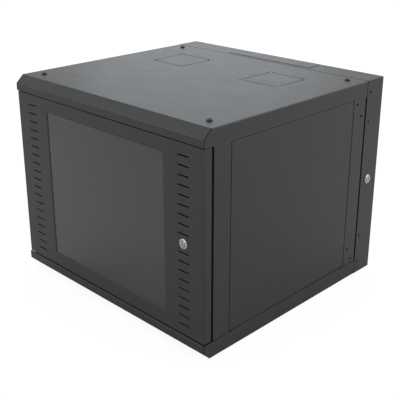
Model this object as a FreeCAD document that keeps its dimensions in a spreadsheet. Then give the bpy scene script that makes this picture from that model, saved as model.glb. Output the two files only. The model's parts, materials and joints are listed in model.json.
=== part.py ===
import FreeCAD, Part
import os
import re
import Sketcher

# A 19-inch wall cabinet of nine rack units in two sections. The wall section is bolted to the wall; the
# swing section, which holds the equipment, turns on two hinges at its left; a glazed door closes its front.
#
# +X is to the right, +Y is towards the wall and +Z is up. The origin is the middle of the wall bolt
# pattern, on the plane of the wall.

# Driving dimensions, in millimetres.
SIZES = {
    # whole cabinet
    "cabinet_width": 600,
    "cabinet_height": 476,
    "swing_depth": 514.8,
    "wall_depth": 62.5,
    "section_gap": 2.2,
    # sheet thicknesses
    "cover_sheet": 1.2,
    "frame_sheet": 1.5,
    "rail_sheet": 2,
    "door_sheet": 1.2,
    "panel_sheet": 1.2,
    "wall_sheet": 1.5,
    # top and bottom covers
    "cover_height": 36,
    "chamfer_depth": 19,
    "chamfer_drop": 18,
    "bottom_chamfer_depth": 16.5,
    "bottom_chamfer_drop": 16.2,
    "lip_height": 34.4,
    "lip_return": 25,
    "cover_bend": 1.8,
    "corner_seam": 0.6,
    "corner_relief_radius": 1.2,
    # cover bolts and their nuts
    "cover_bolt_from_rail": 12.5,
    "cover_bolt_front": 51.5,
    "cover_bolt_back": 24,
    "bolt_head_radius": 6,
    "bolt_head_height": 4,
    "bolt_head_round": 1.6,
    "bolt_socket_radius": 2.3,
    "bolt_socket_depth": 2.4,
    "bolt_radius": 3,
    "bolt_hole_radius": 3.3,
    "bolt_nut_radius": 5.8,
    "bolt_nut_height": 5,
    "thread_end": 1,
    "thread_clearance": 0.05,
    # knock-outs for fans in the top cover
    "fan_middle": -4,
    "fan_spacing": 290,
    "fan_setback": 134.5,
    "fan_slit_offset": 50.3,
    "fan_slit_half": 42.2,
    "fan_slit_width": 2.4,
    "fan_relief_radius": 3,
    "fan_hole_spacing": 105,
    "fan_hole_radius": 2.2,
    # posts of the swing section
    "post_setback": 25.5,
    "post_flange": 40,
    "front_post_width": 45.3,
    "rear_post_width": 44.2,
    "rear_post_gap": 3.4,
    "panel_recess": 12.5,
    "panel_ledge": 12.5,
    # side rails that join the posts
    "side_rail_clearance": 0.3,
    "sill_width": 12,
    "sill_height": 2,
    "sill_round": 0.6,
    "adjust_slot_half": 45,
    # side panels
    "panel_seam_side": 1.8,
    "panel_seam_top": 1.3,
    "panel_seam_bottom": 1.6,
    "panel_flange": 11,
    "panel_round": 0.8,
    "panel_corner": 1.6,
    "panel_screw_drop": 42,
    "panel_screw_inset": 6.5,
    "panel_screw_radius": 2,
    "panel_screw_hole_radius": 2.2,
    "panel_screw_head_radius": 4,
    "panel_screw_head_height": 2.4,
    # rack rails to the 19-inch standard
    "rack_units": 9,
    "unit_height": 44.45,
    "unit_first_hole": 6.35,
    "unit_hole_step": 15.875,
    "rack_hole_spacing": 465.1,
    "rack_rail_edge": 17.45,
    "rack_hole_side": 9.5,
    "rack_opening": 451,
    "rack_rail_depth": 40,
    "rack_rail_end_gap": 6,
    "rack_front_setback": 60,
    "rack_back_setback": 60,
    # hinges between the two sections
    "hinge_drop": 62.2,
    "hinge_standoff": 5.2,
    "hinge_barrel_radius": 4.8,
    "hinge_pin_radius": 2.5,
    "hinge_clearance": 0.05,
    "hinge_leaf": 2,
    "hinge_leaf_half": 44,
    "hinge_knuckle_half": 13,
    "hinge_knuckle_gap": 0.6,
    "hinge_leaf_overlap": 0.8,
    "hinge_leaf_relief": 5.6,
    "hinge_swing_leaf_half": 20,
    "hinge_swing_leaf_reach": 45,
    "hinge_wall_leaf_reach": 22,
    "hinge_swing_hole_far": 34.8,
    "hinge_swing_hole_near": 17.8,
    "hinge_swing_hole_rise": 14.6,
    "hinge_wall_hole_back": 11.8,
    "hinge_wall_hole_rise": 34.5,
    "hinge_hole_radius": 3.2,
    "hinge_screw_radius": 3,
    "hinge_screw_head_radius": 5.2,
    "hinge_screw_head_height": 2.4,
    "clinch_nut_radius": 5.2,
    "clinch_nut_height": 4,
    "hinge_pin_head_radius": 4.2,
    "hinge_pin_head_height": 2,
    # wall section
    "wall_flange": 12,
    "wall_bend": 2,
    "wall_bolt_spacing_x": 406.4,
    "wall_bolt_spacing_z": 400,
    "wall_bolt_radius": 4.5,
    "wall_cutout_width": 320,
    "wall_cutout_height": 350,
    # cable entries at the top and bottom of the wall section
    "entry_width": 256,
    "entry_depth": 42,
    "entry_centre": 31.8,
    "entry_plate": 0.8,
    "entry_round": 1,
    "entry_margin_x": 10,
    "entry_margin_y": 8,
    "entry_stud_radius": 2,
    "entry_stud_hole_radius": 2.2,
    "entry_stud_inset_x": 5,
    "entry_stud_inset_y": 13,
    "entry_nut_radius": 3.6,
    "entry_nut_height": 3,
    # front door
    "door_recess": 1,
    "door_side_gap": 1,
    "door_gap_low": 3.3,
    "door_gap_high": 1.6,
    "door_depth": 19.7,
    "door_flange": 14,
    "door_bend": 2.5,
    "window_margin_side": 109.5,
    "window_margin_top": 29.5,
    "window_margin_bottom": 30.8,
    "glass": 4,
    "glass_overlap": 12,
    "glass_seal": 0.5,
    "glass_seal_inset": 0.5,
    "slot_inset": 55,
    "slot_margin": 23.8,
    "slots_above_middle": 9,
    "slot_length": 30,
    "slot_height": 3,
    # clips that hold the glass
    "clip_sheet": 1.2,
    "clip_length": 30,
    "clip_hold": 8,
    "clip_foot": 10,
    "clip_clearance": 0.3,
    "clip_share": 0.55,
    # pins that the door turns on
    "pin_inset": 9,
    "pin_setback": 8,
    "pin_radius": 3,
    "pin_clearance": 0.08,
    "pin_reach": 6,
    "pin_collar_radius": 4.9,
    "pin_collar_height": 4,
    "pin_stop_gap": 0.3,
    "pin_tail": 12,
    "pin_knob_radius": 5,
    "pin_knob_height": 8,
    "pin_bracket_drop": 34.8,
    "pin_bracket_sheet": 1.5,
    "pin_bracket_half": 6,
    "pin_bracket_reach": 15,
    "spring_radius": 4.2,
    "spring_wire_radius": 0.5,
    "spring_turns": 8,
    "spring_end_gap": 0.1,
    "washer_radius": 7,
    "washer_gap": 0.3,
    # rubber buffers behind the closing edge of the door
    "buffer_radius": 5,
    "buffer_gap": 0.3,
    "buffer_inset": 9,
    "buffer_drop": 82,
    # cam locks
    "lock_head_radius": 11,
    "lock_head_height": 2.8,
    "lock_head_round": 1.6,
    "lock_barrel_radius": 9,
    "lock_hole_radius": 9.2,
    "lock_barrel_length": 26,
    "lock_plug_radius": 6,
    "lock_plug_rise": 0.9,
    "lock_clearance": 0.05,
    "lock_key_width": 1.6,
    "lock_key_height": 7.6,
    "lock_key_depth": 8,
    "lock_nut_radius": 13,
    "lock_nut_height": 3.5,
    "lock_end_gap": 0.4,
    "cam_sheet": 2.5,
    "cam_half_width": 7,
    "front_cam_length": 40,
    "side_cam_length": 28,
    "cam_screw_radius": 2,
    "cam_screw_head_radius": 4.5,
    "cam_screw_head_height": 3,
    "cam_screw_length": 8,
    "side_lock_setback": 25.9,
    # striker that the side lock's cam catches
    "striker_sheet": 2.5,
    "striker_inset": 31.5,
    "striker_foot": 16,
    "striker_low": 8,
    "striker_high": 30,
    "tooth_low": 12,
    "tooth_high": 28,
    "tooth_width": 17,
    "tooth_gap": 1.1,
}

# Planes that many pieces share, as formulas of the driving dimensions.
HALF = "(cabinet_width / 2)"
TOP = "(cabinet_height / 2)"
FRONT = "(-(swing_depth + section_gap + wall_depth))"
COVER_BACK = "(-(wall_depth + section_gap))"
WALL_FRONT = "(-wall_depth)"
BAND = f"({TOP} - cover_height)"
LIP = f"({TOP} - lip_height)"

POST_FRONT = f"({FRONT} + post_setback)"
POST_BACK = f"({COVER_BACK} - rear_post_gap)"
PANEL_FRONT = f"({POST_FRONT} + front_post_width)"
PANEL_BACK = f"({POST_BACK} - rear_post_width)"
PANEL_SCREWS_Y = (f"{PANEL_FRONT} + panel_screw_inset", f"{PANEL_BACK} - panel_screw_inset")
LEDGE_X = f"({HALF} - panel_recess)"
SIDE_RAIL_X = "(rack_hole_spacing / 2 + rack_rail_edge)"
SIDE_RAIL_MIDDLE = f"({TOP} - (cover_height + cover_sheet) / 2)"

RACK_FRONT = f"({FRONT} + rack_front_setback)"
RACK_BACK = f"({COVER_BACK} - rack_back_setback)"
RACK_BOLTS_Y = (f"({RACK_FRONT} + rack_rail_depth / 2)", f"({RACK_BACK} - rack_rail_depth / 2)")

HINGE_X = f"(-{HALF} - hinge_standoff)"
HINGE_Z = f"({TOP} - hinge_drop)"
HINGE_Y = "(-wall_depth - section_gap / 2)"
HINGE_HOLES_SWING = (
    (f"({COVER_BACK} - hinge_swing_hole_far)", "hinge_swing_hole_rise"),
    (f"({COVER_BACK} - hinge_swing_hole_near)", "(-hinge_swing_hole_rise)"),
)
HINGE_HOLES_WALL = (
    (f"({WALL_FRONT} + hinge_wall_hole_back)", "hinge_wall_hole_rise"),
    (f"({WALL_FRONT} + hinge_wall_hole_back)", "(-hinge_wall_hole_rise)"),
)

DOOR_HALF = f"({HALF} - door_side_gap)"
DOOR_LOW = f"(-{LIP} + door_gap_low)"
DOOR_HIGH = f"({LIP} - door_gap_high)"
DOOR_FRONT = f"({FRONT} + door_recess)"
DOOR_BACK = f"({DOOR_FRONT} + door_depth)"
PIN_X = f"(-{DOOR_HALF} + pin_inset)"
PIN_Y = f"({DOOR_FRONT} + pin_setback)"
BRACKET_TOP = f"({DOOR_HIGH} - door_sheet - pin_bracket_drop + pin_bracket_sheet)"
COLLAR_TOP = f"({DOOR_HIGH} - door_sheet - pin_stop_gap)"
WINDOW_X = f"({DOOR_HALF} - window_margin_side)"
WINDOW_LOW = f"({DOOR_LOW} + window_margin_bottom)"
WINDOW_HIGH = f"({DOOR_HIGH} - window_margin_top)"
GLASS_HALF_X = f"({WINDOW_X} + glass_overlap)"
GLASS_LOW = f"({WINDOW_LOW} - glass_overlap)"
GLASS_HIGH = f"({WINDOW_HIGH} + glass_overlap)"
GLASS_MIDDLE = f"(({WINDOW_LOW} + {WINDOW_HIGH}) / 2)"
SLOT_X = f"({DOOR_HALF} - slot_inset)"
SLOT_PITCH = f"(({DOOR_HIGH} - slot_margin) / slots_above_middle)"

SIDES = {"left": -1, "right": 1}
LEVELS = {"lower": -1, "upper": 1}

FACING_FRONT = FreeCAD.Rotation(FreeCAD.Vector(1, 0, 0), 90)
FACING_RIGHT = FreeCAD.Rotation(FreeCAD.Vector(1, 1, 1), 120)
FACING_LEFT = FreeCAD.Rotation(FreeCAD.Vector(0, 1, 0), -90)
FACING_DOWN = FreeCAD.Rotation(FreeCAD.Vector(1, 0, 0), 180)
FACING_UP = FreeCAD.Rotation()
QUARTER_TURN = FreeCAD.Rotation(FreeCAD.Vector(0, 0, 1), 90)
HALF_TURN = FreeCAD.Rotation(FreeCAD.Vector(0, 0, 1), 180)

doc = FreeCAD.newDocument("wall_cabinet")
nodes = []


# ---------------------------------------------------------------- sheet and formulas


def make_sheet():
    sheet = doc.addObject("Spreadsheet::Sheet", "Sizes")
    for row, (name, value) in enumerate(SIZES.items(), start=1):
        sheet.set(f"A{row}", name)
        sheet.set(f"B{row}", str(value))
        sheet.setAlias(f"B{row}", name)
    doc.recompute()
    return sheet


sizes = make_sheet()
ALIAS = re.compile(r"\b(" + "|".join(sorted(SIZES, key=len, reverse=True)) + r")\b")


def formula(text):
    """The same formula with its names pointing at the sheet."""
    return ALIAS.sub(r"Sizes.\1", str(text))


def value(text):
    """What a formula comes to now, in millimetres."""
    return float(sizes.evalExpression(str(text)))


def bind(item, name, text):
    item.setExpression(name, formula(text))


def place(item, x, y, z, rotation=FACING_UP, name="Placement"):
    setattr(item, name, FreeCAD.Placement(FreeCAD.Vector(), rotation))
    for axis, text in (("x", x), ("y", y), ("z", z)):
        bind(item, f"{name}.Base.{axis}", text)


# ---------------------------------------------------------------- outlines


def rectangle(low_a, high_a, low_b, high_b):
    return [(low_a, low_b), (high_a, low_b), (high_a, high_b), (low_a, high_b)]


def folded(path, sheet, turn):
    """Outline of a strip folded at right angles. path runs along one face of the sheet, and the material
    lies to the left of it where turn is 1, and to the right where turn is -1."""
    points = [(value(a), value(b)) for a, b in path]
    normals = []
    for (a0, b0), (a1, b1) in zip(points, points[1:]):
        length = abs(a1 - a0) + abs(b1 - b0)
        normals.append((-turn * round((b1 - b0) / length), turn * round((a1 - a0) / length)))
    inner = []
    for index, (a, b) in enumerate(path):
        beside = {normals[max(index - 1, 0)], normals[min(index, len(normals) - 1)]}
        shift_a = sum(normal[0] for normal in beside)
        shift_b = sum(normal[1] for normal in beside)
        inner.append((f"{a} + {shift_a} * {sheet}", f"{b} + {shift_b} * {sheet}"))
    return list(path) + inner[::-1]


def hexagon(radius):
    half = f"{radius} / 2"
    tall = f"{radius} * sqrt(3) / 2"
    return [
        (radius, "0"),
        (half, tall),
        (f"-{half}", tall),
        (f"-{radius}", "0"),
        (f"-{half}", f"-{tall}"),
        (half, f"-{tall}"),
    ]


class Outline:
    """Collects the lines, circles and rules of one sketch."""

    def __init__(self, sketch):
        self.sketch = sketch
        self.count = 0

    def dimension(self, kind, arguments, text):
        index = self.sketch.addConstraint(Sketcher.Constraint(kind, *arguments, value(text)))
        name = f"size{index}"
        self.sketch.renameConstraint(index, name)
        bind(self.sketch, f"Constraints.{name}", text)

    def pin_point(self, edge, point, position):
        self.dimension("DistanceX", (-1, 1, edge, point), position[0])
        self.dimension("DistanceY", (-1, 1, edge, point), position[1])

    def polygon(self, points):
        first = self.count
        total = len(points)
        spots = [FreeCAD.Vector(value(a), value(b), 0) for a, b in points]
        lines = [Part.LineSegment(spots[i], spots[(i + 1) % total]) for i in range(total)]
        self.sketch.addGeometry(lines, False)
        for i in range(total):
            ends = (first + i, 2, first + (i + 1) % total, 1)
            self.sketch.addConstraint(Sketcher.Constraint("Coincident", *ends))
        for i in range(total):
            self.pin_point(first + i, 1, points[i])
        self.count += total

    def circle(self, centre, radius):
        middle = FreeCAD.Vector(value(centre[0]), value(centre[1]), 0)
        ring = Part.Circle(middle, FreeCAD.Vector(0, 0, 1), value(radius))
        self.sketch.addGeometry([ring], False)
        self.pin_point(self.count, 3, centre)
        self.dimension("Radius", (self.count,), radius)
        self.count += 1

    def slot(self, start, end, radius):
        """A slot along the first axis, between the centres of its two round ends."""
        first = self.count
        a0, a1, b, r = value(start[0]), value(end[0]), value(start[1]), value(radius)
        normal = FreeCAD.Vector(0, 0, 1)
        quarter = 1.5707963267948966
        left = Part.Circle(FreeCAD.Vector(a0, b, 0), normal, r)
        right = Part.Circle(FreeCAD.Vector(a1, b, 0), normal, r)
        shapes = [
            Part.ArcOfCircle(left, quarter, 3 * quarter),
            Part.LineSegment(FreeCAD.Vector(a0, b - r, 0), FreeCAD.Vector(a1, b - r, 0)),
            Part.ArcOfCircle(right, -quarter, quarter),
            Part.LineSegment(FreeCAD.Vector(a1, b + r, 0), FreeCAD.Vector(a0, b + r, 0)),
        ]
        self.sketch.addGeometry(shapes, False)
        joints = ((0, 2, 1, 1), (1, 2, 2, 1), (2, 2, 3, 1), (3, 2, 0, 1))
        for edge, point, other, other_point in joints:
            ends = (first + edge, point, first + other, other_point)
            self.sketch.addConstraint(Sketcher.Constraint("Tangent", *ends))
        self.sketch.addConstraint(Sketcher.Constraint("Equal", first, first + 2))
        self.pin_point(first, 3, start)
        self.pin_point(first + 2, 3, end)
        self.dimension("Radius", (first,), radius)
        self.count += 4


def polygon(points):
    return ("polygon", (points,))


def circle(a, b, radius):
    return ("circle", ((a, b), radius))


def slot(a_low, a_high, b, radius):
    return ("slot", ((a_low, b), (a_high, b), radius))


# ---------------------------------------------------------------- features


def origin_part(body, role):
    return next(item for item in body.Origin.OriginFeatures if item.Role == role)


def make_body(label):
    body = doc.addObject("PartDesign::Body", label)
    body.Label = label
    return body


def keep(item):
    """Marks an object as a sub-part to be written."""
    nodes.append(item)
    return item


def draw(body, plane, shapes, offset):
    sketch = body.newObject("Sketcher::SketchObject", f"{body.Label}_sketch")
    sketch.AttachmentSupport = [(origin_part(body, f"{plane}_Plane"), "")]
    sketch.MapMode = "FlatFace"
    bind(sketch, "AttachmentOffset.Base.z", offset)
    outline = Outline(sketch)
    for kind, arguments in shapes:
        getattr(outline, kind)(*arguments)
    return sketch


def pad(body, plane, shapes, low, high):
    """Material between two coordinates along the axis that the plane faces."""
    offset = f"-({high})" if plane == "XZ" else low
    sketch = draw(body, plane, shapes, offset)
    feature = body.newObject("PartDesign::Pad", f"{body.Label}_pad")
    feature.Profile = sketch
    bind(feature, "Length", f"({high}) - ({low})")
    return feature


def cut(body, plane, shapes, low, high):
    """A pocket between two coordinates along the axis that the plane faces."""
    offset = f"-({low})" if plane == "XZ" else high
    sketch = draw(body, plane, shapes, offset)
    feature = body.newObject("PartDesign::Pocket", f"{body.Label}_pocket")
    feature.Profile = sketch
    bind(feature, "Length", f"({high}) - ({low})")
    return feature


def repeat(body, feature, axis, spacing, count):
    pattern = body.newObject("PartDesign::LinearPattern", f"{body.Label}_pattern")
    pattern.Originals = [feature]
    pattern.Direction = (origin_part(body, f"{axis}_Axis"), [""])
    pattern.Mode = "Spacing"
    bind(pattern, "Offset", spacing)
    bind(pattern, "Occurrences", count)
    body.Tip = pattern
    return pattern


def turn_profile(body, points):
    """A solid of revolution about the body's own Z axis, from (radius, height) points."""
    sketch = draw(body, "XZ", [polygon(points)], "0")
    feature = body.newObject("PartDesign::Revolution", f"{body.Label}_turned")
    feature.Profile = sketch
    feature.ReferenceAxis = (origin_part(body, "Z_Axis"), [""])
    feature.Angle = 360
    return feature


def round_edges(body, radius, wanted):
    """Rounds the edges of the body so far whose middle point and direction the test accepts."""
    doc.recompute()
    tip = body.Tip
    names = []
    for number, edge in enumerate(tip.Shape.Edges, start=1):
        box = edge.BoundBox
        middle = FreeCAD.Vector(box.Center)
        if wanted(middle, box):
            names.append(f"Edge{number}")
    if not names:
        raise RuntimeError(f"{body.Label}: no edge to round")
    fillet = body.newObject("PartDesign::Fillet", f"{body.Label}_fillet")
    fillet.Base = (tip, names)
    bind(fillet, "Radius", radius)
    return fillet


def near(first, second):
    return abs(first - second) < 0.01


def linked(master, name, x, y, z, rotation=FACING_UP):
    link = doc.addObject("App::Link", name)
    link.LinkedObject = master
    place(link, x, y, z, rotation, "LinkPlacement")
    return link


def group(label, links):
    """One sub-part made of several separate copies of the same piece."""
    compound = doc.addObject("Part::Compound", label)
    compound.Label = label
    compound.Links = links
    return keep(compound)


# ---------------------------------------------------------------- fasteners


def fastener(name, head_radius, head_height, radius, length):
    """A screw on its own Z axis: the head stands on Z = 0 and the shank hangs below it."""
    body = make_body(name)
    outline = [
        ("0", f"-({length})"),
        (radius, f"-({length})"),
        (radius, "0"),
        (head_radius, "0"),
        (head_radius, head_height),
        ("0", head_height),
    ]
    turn_profile(body, outline)
    return body


def socket_bolt(name, length):
    body = fastener(name, "bolt_head_radius", "bolt_head_height", "bolt_radius", length)
    rim = value("bolt_head_height")
    round_edges(body, "bolt_head_round", lambda middle, box: near(box.ZMin, rim) and near(box.ZMax, rim))
    floor = "bolt_head_height - bolt_socket_depth"
    cut(body, "XY", [polygon(hexagon("bolt_socket_radius"))], floor, "bolt_head_height")
    return body


def hex_nut(name, radius, height, bore):
    body = make_body(name)
    pad(body, "XY", [polygon(hexagon(radius)), circle("0", "0", bore)], "0", height)
    return body


def ring(body, outer, inner, low, high):
    turn_profile(body, [(inner, low), (outer, low), (outer, high), (inner, high)])
    return body


# ---------------------------------------------------------------- top and bottom covers


def level_span(level, near_edge, far_edge):
    """Two depths below the top (or above the bottom) as a low and a high coordinate."""
    if level > 0:
        return f"{TOP} - ({far_edge})", f"{TOP} - ({near_edge})"
    return f"-{TOP} + ({near_edge})", f"-{TOP} + ({far_edge})"


def cover_bolt_spots(sides=tuple(SIDES.values())):
    for side in sides:
        for y in (f"{FRONT} + cover_bolt_front", f"{COVER_BACK} - cover_bolt_back"):
            yield f"{side} * ({SIDE_RAIL_X} + cover_bolt_from_rail)", y


def make_cover(label, level, chamfer_depth, chamfer_drop):
    """A tray with a chamfered front lip. Depths are measured from its flat face."""

    def z(depth):
        return f"{level} * ({TOP} - ({depth}))"

    body = make_body(label)
    outer = [
        (FRONT, z("lip_height")),
        (FRONT, z(chamfer_drop)),
        (f"{FRONT} + {chamfer_depth}", z("0")),
        (COVER_BACK, z("0")),
        (COVER_BACK, z("cover_height")),
        (f"{FRONT} + lip_return", z("cover_height")),
        (f"{FRONT} + lip_return", z("lip_height")),
    ]
    pad(body, "YZ", [polygon(outer)], f"-{HALF}", HALF)
    top = level * value(TOP)
    half = value(HALF)
    front = value(FRONT)
    chamfer_end = front + value(chamfer_depth)

    def bend(middle, box):
        level_edge = near(box.ZMin, box.ZMax)
        across = level_edge and near(box.YMin, box.YMax)
        along = level_edge and near(box.XMin, box.XMax) and near(abs(middle.x), half)
        if along:
            return near(middle.z, top)
        return across and (near(middle.y, front) or near(middle.y, chamfer_end))

    round_edges(body, "cover_bend", bend)
    slope = f"sqrt({chamfer_depth}^2 + {chamfer_drop}^2)"
    lower_bend = (
        f"{FRONT} + cover_sheet",
        z(f"{chamfer_drop} + cover_sheet * ({slope} - {chamfer_drop}) / {chamfer_depth}"),
    )
    upper_bend = (
        f"{FRONT} + {chamfer_depth} + cover_sheet * ({slope} - {chamfer_depth}) / {chamfer_drop}",
        z("cover_sheet"),
    )
    inner = [
        (f"{FRONT} + cover_sheet", z("lip_height - cover_sheet")),
        lower_bend,
        upper_bend,
        (f"{COVER_BACK} - cover_sheet", z("cover_sheet")),
        (f"{COVER_BACK} - cover_sheet", z("cover_height + cover_sheet")),
        (f"{FRONT} + lip_return", z("cover_height + cover_sheet")),
        (f"{FRONT} + lip_return", z("lip_height - cover_sheet")),
    ]
    cut(body, "YZ", [polygon(inner)], f"-{HALF} + cover_sheet", f"{HALF} - cover_sheet")
    front_sheet = outer[:3] + [upper_bend, lower_bend, (f"{FRONT} + cover_sheet", z("lip_height"))]
    cut_corner_seams(body, level, front_sheet, f"{FRONT} + {chamfer_depth}")
    bolt_holes = [circle(x, y, "bolt_hole_radius") for x, y in cover_bolt_spots()]
    cut(body, "XY", bolt_holes, *level_span(level, "0", "cover_sheet"))
    pin_hole = [circle(PIN_X, PIN_Y, "pin_radius + pin_clearance")]
    cut(body, "XY", pin_hole, *level_span(level, "lip_height - cover_sheet", "lip_height"))
    return keep(body)


def cut_corner_seams(body, level, front_sheet, end):
    """Open seams between the folded front of a cover and its two sides, with a relief hole at each end."""
    outer = f"({HALF} - cover_sheet)"
    inner = f"({outer} - corner_seam)"
    for side in SIDES.values():
        cut(body, "YZ", [polygon(front_sheet)], *side_span(side, inner, outer))
    reliefs = [
        circle(f"{side} * ({outer} - corner_seam / 2)", end, "corner_relief_radius")
        for side in SIDES.values()
    ]
    cut(body, "XY", reliefs, *level_span(level, "0", "cover_sheet"))


def cut_fan_knockout(body, side):
    """Four slits with relief holes at their ends and four fan screw holes, around a square blank."""
    x = f"(fan_middle + {side} * fan_spacing / 2)"
    y = f"({COVER_BACK} - fan_setback)"
    sheet = level_span(1, "0", "cover_sheet")
    half = "fan_slit_width / 2"
    slits = []
    reliefs = []
    for way in (-1, 1):
        middle = f"{way} * fan_slit_offset"
        across = (f"{x} - fan_slit_half", f"{x} + fan_slit_half")
        along = (f"{y} - fan_slit_half", f"{y} + fan_slit_half")
        slits.append(rectangle(*across, f"{y} + {middle} - {half}", f"{y} + {middle} + {half}"))
        slits.append(rectangle(f"{x} + {middle} - {half}", f"{x} + {middle} + {half}", *along))
        for end in (-1, 1):
            reliefs.append((f"{x} + {end} * fan_slit_half", f"{y} + {middle}"))
            reliefs.append((f"{x} + {middle}", f"{y} + {end} * fan_slit_half"))
    cut(body, "XY", [polygon(points) for points in slits], *sheet)
    holes = [circle(a, b, "fan_relief_radius") for a, b in reliefs]
    for a in (-1, 1):
        for b in (-1, 1):
            spot = (f"{x} + {a} * fan_hole_spacing / 2", f"{y} + {b} * fan_hole_spacing / 2")
            holes.append(circle(*spot, "fan_hole_radius"))
    cut(body, "XY", holes, *sheet)


def make_covers():
    top = make_cover("top_cover", 1, "chamfer_depth", "chamfer_drop")
    for side in SIDES.values():
        cut_fan_knockout(top, side)
    make_cover("bottom_cover", -1, "bottom_chamfer_depth", "bottom_chamfer_drop")


def make_cover_bolts():
    stack = "cover_sheet + frame_sheet"
    bolt = socket_bolt("cover_bolt", f"{stack} + bolt_nut_height + thread_end")
    nut = hex_nut("frame_nut", "bolt_nut_radius", "bolt_nut_height", "bolt_radius + thread_clearance")
    bolts = []
    nuts = []
    for level, rotation in ((1, FACING_UP), (-1, FACING_DOWN)):
        for x, y in cover_bolt_spots():
            bolts.append(linked(bolt, "cover_bolt_copy", x, y, f"{level} * {TOP}", rotation))
            seat = f"{level} * ({TOP} - ({stack}) - bolt_nut_height)"
            nuts.append(linked(nut, "cover_nut_copy", x, y, seat, rotation))
    group("cover_bolts", bolts)
    return nuts, nut


# ---------------------------------------------------------------- frame of the swing section


def make_posts():
    for name, side in SIDES.items():
        edge = f"{side} * {HALF}"
        flange = f"{side} * ({HALF} - post_flange)"
        ledge = f"{side} * {LEDGE_X}"
        front = make_body(f"front_post_{name}")
        path = [
            (flange, POST_FRONT),
            (edge, POST_FRONT),
            (edge, PANEL_FRONT),
            (ledge, PANEL_FRONT),
            (ledge, f"{PANEL_FRONT} + panel_ledge"),
        ]
        pad(front, "XY", [polygon(folded(path, "frame_sheet", side))], f"-{BAND}", BAND)
        cut_panel_screw_holes(front, side, "frame_sheet", [PANEL_SCREWS_Y[0]], outward=False)
        keep(front)
        rear = make_body(f"rear_post_{name}")
        path = [
            (flange, POST_BACK),
            (edge, POST_BACK),
            (edge, PANEL_BACK),
            (ledge, PANEL_BACK),
            (ledge, f"{PANEL_BACK} - panel_ledge"),
        ]
        pad(rear, "XY", [polygon(folded(path, "frame_sheet", -side))], f"-{BAND}", BAND)
        cut_panel_screw_holes(rear, side, "frame_sheet", [PANEL_SCREWS_Y[1]], outward=False)
        cut_hinge_holes(rear, side, HINGE_HOLES_SWING, "frame_sheet")
        keep(rear)


def side_span(side, inner, outer):
    """Two distances from the middle plane as a low and a high X coordinate on one side."""
    if side > 0:
        return inner, outer
    return f"-({outer})", f"-({inner})"


def cut_panel_screw_holes(body, side, sheet, spots, outward):
    """Screw holes beside the plane where the side panel meets the ledges of the posts."""
    if outward:
        span = side_span(side, LEDGE_X, f"{LEDGE_X} + {sheet}")
    else:
        span = side_span(side, f"{LEDGE_X} - {sheet}", LEDGE_X)
    holes = [
        circle(y, f"{level} * ({BAND} - panel_screw_drop)", "panel_screw_hole_radius")
        for y in spots
        for level in LEVELS.values()
    ]
    cut(body, "YZ", holes, *span)


def cut_hinge_holes(body, side, spots, sheet):
    """Screw holes of both hinges in one side, so that either side can carry them."""
    holes = [
        circle(y, f"{level} * {HINGE_Z} + {rise}", "hinge_hole_radius")
        for y, rise in spots
        for level in LEVELS.values()
    ]
    cut(body, "YZ", holes, *side_span(side, f"{HALF} - {sheet}", HALF))


def make_side_rails():
    for name, side in SIDES.items():
        outer = f"{side} * ({HALF} - cover_sheet - side_rail_clearance)"
        web = f"{side} * {SIDE_RAIL_X}"
        for level_name, level in LEVELS.items():
            rail = make_body(f"{level_name}_side_rail_{name}")
            path = [
                (outer, f"{level} * {BAND}"),
                (web, f"{level} * {BAND}"),
                (web, f"{level} * ({TOP} - cover_sheet)"),
                (outer, f"{level} * ({TOP} - cover_sheet)"),
            ]
            outline = folded(path, "frame_sheet", -side * level)
            pad(rail, "XZ", [polygon(outline)], POST_FRONT, POST_BACK)
            holes = [circle(x, y, "bolt_hole_radius") for x, y in cover_bolt_spots((side,))]
            cut(rail, "XY", holes, *level_span(level, "cover_sheet", "cover_sheet + frame_sheet"))
            slots = [
                slot(
                    f"{y} - adjust_slot_half",
                    f"{y} + adjust_slot_half",
                    f"{level} * {SIDE_RAIL_MIDDLE}",
                    "bolt_hole_radius",
                )
                for y in RACK_BOLTS_Y
            ]
            cut(rail, "YZ", slots, *side_span(side, SIDE_RAIL_X, f"{SIDE_RAIL_X} + frame_sheet"))
            if level < 0:
                add_sill(rail, side)
            keep(rail)


def add_sill(rail, side):
    """The narrow shelf of a lower side rail on which the side panel stands."""
    outline = rectangle(
        f"{side} * ({HALF} - sill_width)",
        f"{side} * ({HALF} - cover_sheet)",
        f"{PANEL_FRONT} + panel_seam_side",
        f"{PANEL_BACK} - panel_seam_side",
    )
    pad(rail, "XY", [polygon(outline)], f"-{BAND}", f"-{BAND} + sill_height")
    height = value(f"-{BAND} + sill_height")
    edge = side * value(f"{HALF} - cover_sheet")

    def outer_edge(middle, box):
        level_edge = near(box.ZMin, box.ZMax) and near(middle.z, height)
        return level_edge and near(box.XMin, edge) and near(box.XMax, edge)

    round_edges(rail, "sill_round", outer_edge)


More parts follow.
